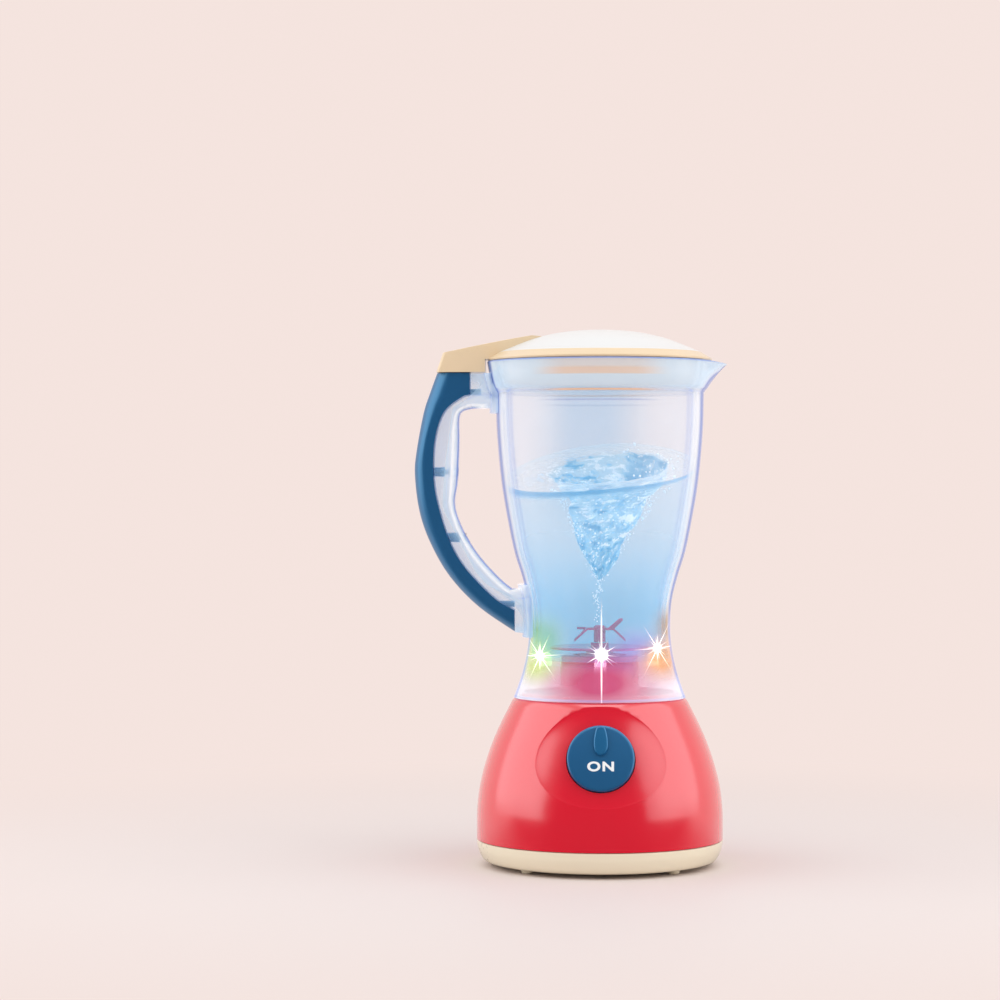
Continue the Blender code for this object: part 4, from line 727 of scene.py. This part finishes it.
def makeButton(navy, lighter, white):
    radius, top, crown = button["radius"], button["proud"], button["crown"]

    def face(reach):                 # height of the crowned face, in mm
        return top + crown * (1 - reach ** 2 * 0.92)

    profile = [(radius * k / 10, face(k / 10)) for k in range(10)]
    profile += smoothLine([(radius - 0.6, top + crown * 0.16), (radius - 0.15, top - 0.2),
                           (radius, top - button["edge"])], 4)
    profile += [(radius, -11.3), (radius + 2, -11.3), (radius + 2, -12.9), (radius - 1.6, -12.9),
                (radius - 1.6, -3), (2.2, -3), (2.2, -15), (0, -15)]
    cap = lathe(offsets(0, 0, profile), 128)
    settle(shape(turned(cap, buttonPlace), "buttonCap"), "button", navy, ["button"], 34)

    foot = radius - button["edge"] - button["ribLength"]
    half = smoothLine([(button["ribWidth"] / 2 * w, foot + button["ribLength"] * h)
                       for w, h in button["ribCurve"]], 3)
    around = half + [(-x, y) for x, y in half[-2:0:-1]]
    rib, upper = prism([(x * mm, y * mm, 0) for x, y in around],
                       (0, 0, (top + crown + button["ribHeight"]) * mm))
    edges = [e for e in rib.edges if all(v in upper for v in e.verts)]
    bevelEdges(rib, edges, button["ribRound"] * mm, 5)
    # painted light: the rib wears a lighter copy of the button's navy, standing in for the light its raised
    # edges catch
    settle(shape(turned(rib, buttonPlace), "buttonRib"), "button", lighter, [], 50)

    words = bpy.data.curves.new("word", "FONT")
    words.body, words.size = button["word"], button["wordSize"] * mm
    words.align_x = words.align_y = "CENTER"
    words.extrude, words.offset, words.space_character = 0.06 * mm, 0.22 * mm, 1.15
    bm = opened(placed("word", words))
    ops.remove_doubles(bm, verts=bm.verts, dist=0.001 * mm)
    for vert in bm.verts:
        across, up = vert.co.x * button["wordStretch"], vert.co.y - button["wordDrop"] * mm
        height = face(hypot(across, up) / (radius * mm)) * mm + vert.co.z + 0.02 * mm
        vert.co = (across, up, height)
    settle(shape(turned(bm, buttonPlace), "buttonWord"), "button", white, [], 30)


def makeJar(clear):
    floorTop, foot, hole = floorZ - slack, footZ + 0.3 * mm, jar["hole"] * mm
    floorUnder = floorTop - jar["floor"] * mm
    upper = [(r, z) for r, z in jarInner if floorTop + 0.5 * mm < z < rimZ - 1 * mm]
    lower = [(r, z) for r, z in jarInner if foot < z < floorUnder - 0.5 * mm]
    outer = jarLine + offsets(rimRadius, rimZ, [(-0.15, -0.1), (-0.5, 0)])
    outer += offsets(upper[-1][0], rimZ, [(0.6, 0), (0.15, -0.3)])
    profile = outer + upper[::-1]
    profile += offsets(radiusAt(jarInner, floorTop), floorTop, [(-0.4, 0.1), (-1.2, 0)])
    profile += [(hole, floorTop), (hole, floorUnder), (radiusAt(jarInner, floorUnder), floorUnder)]
    profile += lower[::-1] + [(radiusAt(jarInner, foot), footZ)]
    bm = lathe(profile, jar["steps"], closed=True)
    outline = ringTable(outer)
    outside = bm.verts.layers.float.new("outside")
    reach = (jarHigh.x - axisX) - rimRadius
    for vert in bm.verts:
        vert[outside] = 0.0 if ringOf(outline, vert) is None else 1.0
        lift = (vert.co.z - shoulderZ) / (rimZ - shoulderZ)
        angle = abs(atan2(vert.co.y, vert.co.x)) / radians(jar["beakAngle"])
        if lift > 0 and angle < 1:
            beak = lift ** jar["beakScoop"] * (1 - angle) ** jar["beakSharp"]
            grow = 1 + reach * beak / hypot(vert.co.x, vert.co.y)
            vert.co = (vert.co.x * grow, vert.co.y * grow, vert.co.z - jar["beakDip"] * mm * beak)
    settle(shape(bm, "jarClear"), "jar", clear, ["jar_shell"], 36)


# Lid: dome, band, skirt and the tab over the handle
lid = dict(
    steps=160, radius=56.6, creaseRadius=51.5, creaseHeight=4.1, domeHeight=11.6, wall=2.0,
    skirtDepth=10.8, skirtLight=(0.24, 0.25, 0.28), domeCurve=[(0, 1), (0.233, 0.957), (0.466, 0.819),
    (0.689, 0.56), (0.911, 0.164), (1, 0)], tabReach=82.2, tabLean=3.3, tabFoot=248.4, tabHeight=9.7,
    tabWidth=22.0, tabRound=2.2, tabEndRound=6.5, tabEnd=27.0, tabHeel=57.7, tabCurve=[(0, 0),
    (0.22, 0.27), (0.44, 0.52), (0.66, 0.76), (0.86, 0.95)])


def makeLid(lidPaint, cream):
    bottom = rimZ + slack
    creaseZ = bottom + lid["creaseHeight"] * mm
    crease, edge, wall = lid["creaseRadius"] * mm, lid["radius"] * mm, lid["wall"] * mm
    dome = smoothLine([(crease * w, creaseZ + lid["domeHeight"] * mm * h) for w, h in lid["domeCurve"]], 5)
    band = offsets(crease, creaseZ, [(0.2, -0.25)])
    band += offsets(edge, bottom, [(-0.5, 1.3), (0, 0.7), (-0.2, 0)])
    heights = [share(bottom - 0.4 * mm, bottom - lid["skirtDepth"] * mm, k / 6) for k in range(7)]
    skirt = [(radiusAt(jarInner, z) - 0.4 * mm, z) for z in heights]
    inner = skirt[0][0] - wall
    profile = dome + smoothLine(band, 3) + [(skirt[0][0] + 0.3 * mm, bottom)] + skirt
    profile += [(r - wall, z) for r, z in skirt[::-1]] + [(inner, heightAt(dome, inner) - wall)]
    profile += [(r, z - wall) for r, z in dome[::-1] if r < inner - 1 * mm]
    settle(shape(lathe(profile, lid["steps"]), "lidDome"), "lid", lidPaint, ["lid"], 24)

    end, reach, heel = lid["tabEnd"] * mm, lid["tabReach"] * mm, lid["tabHeel"] * mm
    topReach, foot = reach - lid["tabLean"] * mm, lid["tabFoot"] * mm
    topZ, endZ = foot + lid["tabHeight"] * mm, heightAt(dome, end)
    back = smoothLine([(-share(topReach, end, along), share(topZ, endZ, fall))
                       for along, fall in lid["tabCurve"]], 4)
    outline = [(-reach, foot)] + back
    outline += [(-r, heightAt(dome, r) - 1.2 * mm) for r in [share(end, crease, k / 6) for k in range(7)]]
    outline += [(-crease - 2 * mm, bottom + 0.6 * mm), (-heel, bottom + 0.6 * mm), (-heel, foot)]
    bm = slab(outline, lid["tabWidth"] * mm)
    ends = [e for e in bm.edges if all(v.co.x < -topReach + 0.01 * mm for v in e.verts)
            and abs(e.verts[0].co.z - e.verts[1].co.z) > 5 * mm]
    bevelEdges(bm, ends, lid["tabEndRound"] * mm, 8)
    bm.normal_update()
    tops = [e for e in bm.edges if len(e.link_faces) == 2 and e.calc_face_angle() > 0.7
            and max(f.normal.z for f in e.link_faces) > 0.7
            and all(v.co.z > foot + 2 * mm and v.co.x < -end - 1 * mm for v in e.verts)]
    bevelEdges(bm, tops, lid["tabRound"] * mm, 5)
    settle(shape(bm, "lidTab"), "lid", cream, [], 40)


# Handle: clear frame inside, navy grip outside
handle = dict(
    reach=93.5, footHeight=33.0, topDrop=5.9, gripWidth=20.0, gripRound=8.5, gripSteps=64,
    frameWidth=15.0, frameRound=2.6, armDepth=17.4, lowerArmDepth=21.4, lowerArmFall=2.9,
    outer=[(0.805, 1), (0.866, 0.925), (0.923, 0.847), (0.985, 0.698), (1, 0.605), (0.96, 0.466),
    (0.866, 0.345), (0.696, 0.214), (0.445, 0.097), (0.128, 0)], inner=[(0.128, 0.084), (0.286, 0.125),
    (0.446, 0.192), (0.587, 0.266), (0.696, 0.355), (0.78, 0.47), (0.829, 0.587), (0.821, 0.736),
    (0.742, 0.848), (0.585, 0.907), (0.516, 0.916)], finger=[(0.149, 0.166), (0.249, 0.202),
    (0.409, 0.278), (0.53, 0.355), (0.619, 0.438), (0.65, 0.504), (0.624, 0.588), (0.611, 0.737),
    (0.612, 0.821), (0.583, 0.852), (0.485, 0.864)], pegRadius=1.4, bossRadius=2.2, pegLength=5.3,
    padWidth=26.0, padWall=3.0, padExtra=2.5, shankHole=1.3, headHole=2.6)
handleFoot = footZ + handle["footHeight"] * mm
handleTop = rimZ - handle["topDrop"] * mm
pegHeights = [(handleTop - 9.5 * mm, "pegRadius"), (handleFoot + 13.9 * mm, "pegRadius"),
              (share(handleFoot, handleTop, 0.618), "bossRadius"),
              (share(handleFoot, handleTop, 0.364), "bossRadius")]


def handleLine(name):
    return smoothLine([(-share(jar["waist"], handle["reach"], w) * mm, share(handleFoot, handleTop, h))
                       for w, h in handle[name]], 5)


def alongX(bm, x, height):
    return turned(bm, at(x, 0, height) @ Matrix.Rotation(radians(90), 4, "Y"))


def pegFace(height):
    inner = handleLine("inner")
    return inner[-1][0] if height >= inner[-1][1] else radiusAt(inner, height)


def evenly(line, count):             # the same line in equal steps
    lengths = [0.0]
    for a, b in zip(line, line[1:]):
        lengths.append(lengths[-1] + hypot(b[0] - a[0], b[1] - a[1]))
    even, i = [], 0
    for k in range(count):
        want = lengths[-1] * k / (count - 1)
        while i < len(line) - 2 and lengths[i + 1] < want:
            i += 1
        part = (want - lengths[i]) / (lengths[i + 1] - lengths[i])
        even.append((share(line[i][0], line[i + 1][0], part), share(line[i][1], line[i + 1][1], part)))
    return even


def makeGrip(navy):
    outer, inner = handleLine("outer"), handleLine("inner")
    inner = [(inner[-1][0], handleTop)] + inner[::-1]
    half, steps = handle["gripWidth"] * mm / 2, handle["gripSteps"]
    arc = [radians(-90 + 180 * k / 24) for k in range(25)]
    bm = bmesh.new()
    rings = []
    for (x0, z0), (x1, z1) in zip(evenly(inner, steps), evenly(outer, steps)):
        length = hypot(x1 - x0, z1 - z0)
        crown = min(handle["gripRound"] * mm, length * 0.6)
        section = [(0.0, -half)] + [(length - crown + crown * cos(a) ** 0.9, half * sin(a)) for a in arc]
        verts = [bm.verts.new((share(x0, x1, u / length), v, share(z0, z1, u / length)))
                 for u, v in section + [(0.0, half)]]
        rings.append([bm.edges.new((a, b)) for a, b in zip(verts, verts[1:] + verts[:1])])
    for first, second in zip(rings, rings[1:]):
        ops.bridge_loops(bm, edges=first + second)
    for ring in (rings[0], rings[-1]):
        ops.edgeloop_fill(bm, edges=ring)
    bm.normal_update()
    outward(bm)
    length = handle["pegLength"] * mm
    pegs = [alongX(rod(handle[kind] * mm, -length / 2, length, steps=32), pegFace(height), height)
            for height, kind in pegHeights]
    settle(shape(bm, "gripNavy"), "jar", navy, ["handle_grip"], 50)
    settle(shape(merged(*pegs), "gripPegs"), "jar", navy, [], 40)


def filledJar(grown, steps):
    line = shiftLine(jarLine, grown)
    return lathe([(0, line[0][1])] + line + [(0, line[-1][1])], steps)


def awayFrom(x, z, line):            # shortest way to the line
    best = 1.0
    for (ax, az), (bx, bz) in zip(line, line[1:]):
        wide, tall = bx - ax, bz - az
        part = ((x - ax) * wide + (z - az) * tall) / max(wide * wide + tall * tall, 1e-12)
        part = min(1.0, max(0.0, part))
        best = min(best, hypot(x - ax - part * wide, z - az - part * tall))
    return best


def makeFrame(clear):
    inner, finger = handleLine("inner"), handleLine("finger")
    seat = [(x + slack, z) for x, z in inner]
    armTop, inside = handleTop - slack, -jar["waist"] * mm / 2
    armBottom, armDepth = armTop - handle["armDepth"] * mm, handle["lowerArmDepth"] * mm
    outline = [(inside, armTop), (seat[-1][0], armTop)] + seat[::-1] + [
        (seat[0][0], handleFoot), (inside, handleFoot - handle["lowerArmFall"] * mm),
        (inside, handleFoot + armDepth)] + finger + [(inside, armBottom)]
    bm = slab(outline, handle["frameWidth"] * mm)
    half = handle["frameWidth"] * mm / 2 - 0.01 * mm
    points = ringTable(finger)
    edges = [e for e in bm.edges if e.verts[0].co.y * e.verts[1].co.y > half * half
             and all(mark(v.co.x, v.co.z) in points for v in e.verts)]
    bevelEdges(bm, edges, handle["frameRound"] * mm, 4)
    made = shape(bm, "frameClear")
    side, extra = handle["padWidth"] * mm / 2, handle["padExtra"] * mm
    for low, high in ((armBottom - extra, armTop), (handleFoot - extra, handleFoot + armDepth + extra)):
        pad = shape(filledJar(handle["padWall"] * mm + slack, 128), "pad")
        carve(pad, block((-80 * mm, -side, low), (inside, side, high)), "INTERSECT")
        carve(made, opened(pad), "UNION")
    carve(made, filledJar(slack, 160))
    for height, kind in pegHeights:
        bore = rod((handle[kind] + 0.3) * mm, -2 * mm, (handle["pegLength"] + 0.3) * mm, steps=32)
        carve(made, alongX(bore, pegFace(height), height))
    for height, kind in pegHeights[2:]:
        seatX = pegFace(height) + (handle["pegLength"] + 2.0) * mm
        face = radiusAt(finger, height)
        carve(made, alongX(rod(handle["shankHole"] * mm, -4 * mm, 2 * mm, steps=24), seatX, height))
        carve(made, alongX(rod(handle["headHole"] * mm, 0, face - seatX + 4 * mm, steps=32), seatX, height))
    layer = made.data.attributes.new("across", "FLOAT", "POINT")
    for vert, value in zip(made.data.vertices, layer.data):
        near, far = (awayFrom(vert.co.x, vert.co.z, line) for line in (finger, inner))
        value.value = near / (near + far)
    settle(made, "jar", clear, ["handle_frame"], 34)


# Water: body, whirl, bubbles and drops, all inside the jar
water = dict(
    steps=200, level=190.0, lean=0.09, backRise=23.0, gap=0.25, drift=4.5, twist=0.055, ringEdge=33.0,
    frontSlope=0.35, funnel=[(44, 0.1), (40, 0.3), (36, 0.9), (32, 1.4), (28.5, 0), (24.5, -4.5),
    (19.5, -11.5), (15.5, -18.5), (12, -26), (8.6, -33.5), (5, -40), (2.4, -44), (0.9, -46), (0, -46.6)],
    bubbles=420, columnBubbles=80, drops=34, wobble=0.3)
waterLayers = ("below", "whirl", "top", "above", "strokeX", "strokeY", "run")


def waterLift(x, y, radius):
    back = (y + radius) / (2 * radius)
    back = water["frontSlope"] * back + (1 - water["frontSlope"]) * back * back
    wobble = water["wobble"] * mm * sin(2 * atan2(y, x) + 0.8)
    return water["lean"] * x + water["backRise"] * mm * back + wobble


def unit(value):
    return min(1.0, max(0.0, value))


def makeWater(look):
    level, low = water["level"] * mm, floorZ + 0.1 * mm
    line = [(r - water["gap"] * mm, z) for r, z in jarInner]
    wallR = radiusAt(line, level)
    top = offsets(0, level, water["funnel"])
    top = smoothLine(top, 7)[::-1] + smoothLine([(wallR - 1.5 * mm, level - 0.1 * mm), (wallR, level)], 3)
    profile = top + [(radiusAt(line, z), z) for z in [level - k * 0.8 * mm for k in range(1, 14)]]
    profile += [(r, z) for r, z in line[::-1] if low < z < level - 12 * mm]
    profile += [(radiusAt(line, low), low), (25.5 * mm, low), (0, low)]
    bm = lathe(profile, water["steps"])
    layers = {name: bm.verts.layers.float.new(name) for name in waterLayers}
    table = ringTable(top)
    runs = [0.0]
    for before, after in zip(top, top[1:]):
        runs.append(runs[-1] + hypot(after[0] - before[0], after[1] - before[1]) / mm)
    for vert in bm.verts:
        x, y, z = vert.co
        radius, ring = hypot(x, y), ringOf(table, vert)
        lift = waterLift(x, y, wallR)
        raised = z + lift * unit(1 - (level - z) / (45 * mm)) ** 1.4
        if ring is not None:
            depth = (level - z) / mm
            down = unit(depth / 8)
            inside = unit((water["ringEdge"] + 4 - radius / mm) / 8)
            twist = atan2(y, x) + depth * water["twist"]
            wave = sin(twist * 3) * 0.10 + sin(twist * 7 + 1) * 0.05
            rough = noise.noise(Vector((cos(twist) * 3, sin(twist) * 3, runs[ring] * 0.09))) * 0.24
            grow = 1 + (wave + rough) * inside * (0.3 + 0.7 * down)
            ripple = noise.noise(vert.co * 90) * (0.04 + 1.3 * inside) * mm * min(1, radius / (8 * mm))
            grow += (radiusAt(line, z + lift) / wallR - 1) * (radius / wallR) ** 4 * (1 - down)
            drift = water["drift"] * mm * inside * (1 + depth / water["funnel"][-1][1])
            vert.co = (x * grow + drift, y * grow,
                       raised + ripple * (1 - down) * min(1, (wallR - radius) / (2 * mm)))
            marks = {"whirl": max(inside, 0.22 * min(1.0, (wallR - radius) / (5 * mm))), "top": 1.0,
                     "strokeX": cos(twist), "strokeY": sin(twist), "run": runs[ring]}
        elif radius > 20 * mm and z > low + 0.01 * mm:
            grow = radiusAt(line, raised) / radius
            vert.co = (x * grow, y * grow, raised)
            above = unit((raised - level - water["lean"] * x * grow) / (3 * mm) + 0.5) * (y > 0)
            marks = {"below": (level - z) / mm, "above": above}
        else:
            marks = {"below": 60.0}
        for name, value in marks.items():
            vert[layers[name]] = value
    settle(shape(bm, "waterBody"), "jar", look, [], 60)


def makeBubbles(look):
    level = water["level"] * mm
    funnel = [(r * mm, level + z * mm) for r, z in water["funnel"][3:]]
    tip = funnel[-1][1]
    spots = []
    for _ in range(water["bubbles"]):
        z = max(tip, level - abs(chance.gauss(0, 0.5)) * 46 * mm)
        turn = chance.uniform(0, 2 * pi)
        r = radiusAt(funnel[::-1], z) + abs(chance.gauss(0, 1.3)) * mm
        drift = water["drift"] * mm * (z - tip) / (level - tip)
        spots.append((r * cos(turn) + drift, r * sin(turn), z,
                      chance.choice((0.2, 0.25, 0.3, 0.4, 0.6))))
    for _ in range(water["columnBubbles"]):
        z = share(122, 146, chance.random() ** 0.8) * mm
        sway = sin(z / mm * 0.5) * 1.2
        spots.append((chance.gauss(sway - 1, 0.9) * mm, chance.gauss(0, 1.2) * mm, z,
                      chance.uniform(0.2, 0.5)))
    for _ in range(water["drops"]):
        turn = chance.uniform(-1.5, 1.2)
        r = chance.uniform(30, 41) * mm
        x, y = r * cos(turn), r * sin(turn)
        z = level + waterLift(x, y, 47 * mm) + chance.choice((-1, 1)) * chance.uniform(1.5, 5) * mm
        spots.append((x, y, z, chance.uniform(0.3, 0.8)))
    bm = bmesh.new()
    for x, y, z, size in spots:
        ops.create_icosphere(bm, subdivisions=2 if size > 0.5 else 1, radius=size * mm,
                                   matrix=at(x, y, z))
    settle(shape(bm, "waterBubbles"), "jar", look, [], 180)


# Kept CAD nodes and their finishes
kinds = dict(
    steel="*screw* *_shaft", can="motor", contact="contact_strip_*", jacket="battery_cell_*",
    board="*_board", dark="switch_body motor_holder", crimson="blade blade_carrier",
    white="switch_plunger *_coupler carrier_nut led_*", litCoverCream="battery_door",
    pink="light_pipe_front", green="light_pipe_left", orange="light_pipe_right")


def paintNodes():
    for kind, patterns in kinds.items():
        for name, node in nodes.items():
            if any(fnmatch(name, pattern) for pattern in patterns.split()):
                for slot in node.material_slots:
                    slot.material = paints[kind].material


print("making finishes")
paints = dict(
    red=plastic("red_plastic", finishes["red"], 0.22, 1.0, 0.19),
    cream=plastic("cream_plastic", finishes["cream"], 0.28, 0.4),
    # painted light: a lighter copy of the cream plastic for the base cover, its feet and the battery door,
    # which sit low in shade
    litCoverCream=plastic("cream_plastic", finishes["litCoverCream"], 0.28, 0.4, name="lit_cover_cream"),
    # painted light: a lighter copy of the navy plastic for the button's rib
    navy=plastic("navy_plastic", finishes["navy"], 0.34, peel=0.02),
    ribNavy=plastic("navy_plastic", finishes["ribNavy"], 0.30, name="lit_rib_navy"),
    white=plastic("white_plastic", (0.95, 0.95, 0.95), 0.4),
    crimson=plastic("crimson_plastic", finishes["crimson"], 0.22, 0.4),
    dark=plastic("dark_plastic", (0.03, 0.03, 0.035), 0.5),
    board=plastic("green_board", (0.02, 0.2, 0.07), 0.35, name="board_green"),
    steel=metal("screw_steel", (0.62, 0.62, 0.64), 0.32),
    contact=metal("contact_metal", (0.7, 0.7, 0.68), 0.25),
    can=metal("motor_can", (0.6, 0.6, 0.6), 0.35, 300.0),
    jacket=metal("cell_jacket", (0.14, 0.14, 0.16), 0.4, 200.0),
    pink=lampLook("lamp_pink", (1.0, 0.25, 0.6)),
    green=lampLook("lamp_green", (0.4, 1.0, 0.3)),
    orange=lampLook("lamp_orange", (1.0, 0.5, 0.15)))
paints["red"].set(coatIor=2.1, specularIorLevel=0.2)
for kind in ("navy", "ribNavy"):
    paints[kind].set(ior=1.9, specularIorLevel=1.0, specularTint=(0.32, 0.70, 1.0))

print("making the base")
makeBase(paints["red"])
makeCover(paints["litCoverCream"])
print("making the button")
makeButton(paints["navy"], paints["ribNavy"], paints["white"])
print("making the jar")
makeJar(jarPlastic())
print("making the lid")
makeLid(lidPlastic(), paints["cream"])
print("making the handle")
makeGrip(paints["navy"])
makeFrame(framePlastic())
print("making the water")
makeWater(waterLook())
makeBubbles(dropLook())
print("painting the kept nodes")
paintNodes()


# Studio: pale floor, three soft lamps, camera
studio = dict(
    backdrop=(0.91, 0.775, 0.735), floor=(0.82, 0.71, 0.68), worldLight=0.74, frontDim=0.02,
    skyBand=(-0.75, -0.40), lampColour=(0.86, 0.96, 1.0))
lamps = [("left", (-0.62, -0.08, 0.42), (0.9, 0.84), 2.2), ("right", (0.60, -0.18, 0.42), (0.9, 0.84), 2.1),
         ("top", (0.05, -0.30, 1.25), (0.8, 0.8), 3.0)]
shot = dict(
    distance=1.42, height=0.19, lens=101.06, yaw=1.449, pitch=-0.24)


def makeFloor():
    bm = bmesh.new()
    ops.create_circle(bm, cap_ends=True, segments=64, radius=4.0)
    floor, paint = shape(bm, "floor"), Paint("floor_paint")
    far, front = paint.reach().rise(0.10, 0.55), 1 - paint.y.rise(-0.12, 0.10)
    seen, glossy = paint.ray("Camera"), paint.ray("Glossy")
    glow = paint.node("ShaderNodeEmission", None, {"Color": studio["backdrop"]})
    dark = paint.node("ShaderNodeBsdfDiffuse", None, {"Color": (0.02, 0.02, 0.02)})
    colour = studio["floor"]
    paint.set(baseColor=paint.mix(paint.grain(3.0), colour, dimmed(colour, 0.985)), roughness=0.6)
    body = paint.blend(front * glossy, paint.body, dark)
    paint.surface(paint.blend(far * (seen + glossy * (1 - front)).clamp(), body, glow))
    floor.data.materials.append(paint.material)


def makeWorld():
    world = bpy.data.worlds.new("studio")
    scene.world = world
    world.cycles.sampling_method = "NONE"
    sky = Sheet(world)
    sky.tree.nodes.clear()
    seen, glossy, through = (sky.ray(kind) for kind in ("Camera", "Glossy", "Transmission"))
    coords = sky.node("ShaderNodeTexCoord", output="Generated")
    along = sky.node("ShaderNodeSeparateXYZ", None, {0: coords}, "Y")
    dark, light = studio["frontDim"], studio["worldLight"]
    dim = along.rise(*studio["skyBand"]) * (1 - dark) + dark
    strength = sky.node("ShaderNodeMix", None, {0: seen, 2: dim, 3: 1.0})
    lit = sky.node("ShaderNodeBackground", None, {"Color": plain, "Strength": light})
    shown = sky.node("ShaderNodeBackground", None, {"Color": studio["backdrop"], "Strength": strength})
    straight = seen.math("MAXIMUM", seen.math("MAXIMUM", seen, glossy), through)
    sky.plug(sky.tree.nodes.new("ShaderNodeOutputWorld").inputs["Surface"], sky.blend(straight, lit, shown))


def makeLamps():
    aim = Vector((axisX, 0, (cadLow.z + cadHigh.z) / 2))
    for name, place, size, power in lamps:
        data = bpy.data.lights.new(name, "AREA")
        data.shape, data.energy, data.color = "RECTANGLE", power, studio["lampColour"]
        data.size, data.size_y = size
        lamp = placed(name, data)
        lamp.location = place
        lamp.rotation_euler = (aim - lamp.location).to_track_quat("-Z", "Y").to_euler()


def makeCamera():
    data = bpy.data.cameras.new("camera")
    data.lens, data.sensor_width = shot["lens"], 36
    camera = placed("camera", data)
    camera.location = (0, -shot["distance"], shot["height"])
    camera.rotation_euler = (radians(90 + shot["pitch"]), 0, radians(shot["yaw"]))
    scene.camera = camera


print("setting up the studio")
makeFloor()
makeWorld()
makeLamps()
makeCamera()
scene.view_settings.view_transform = "Standard"
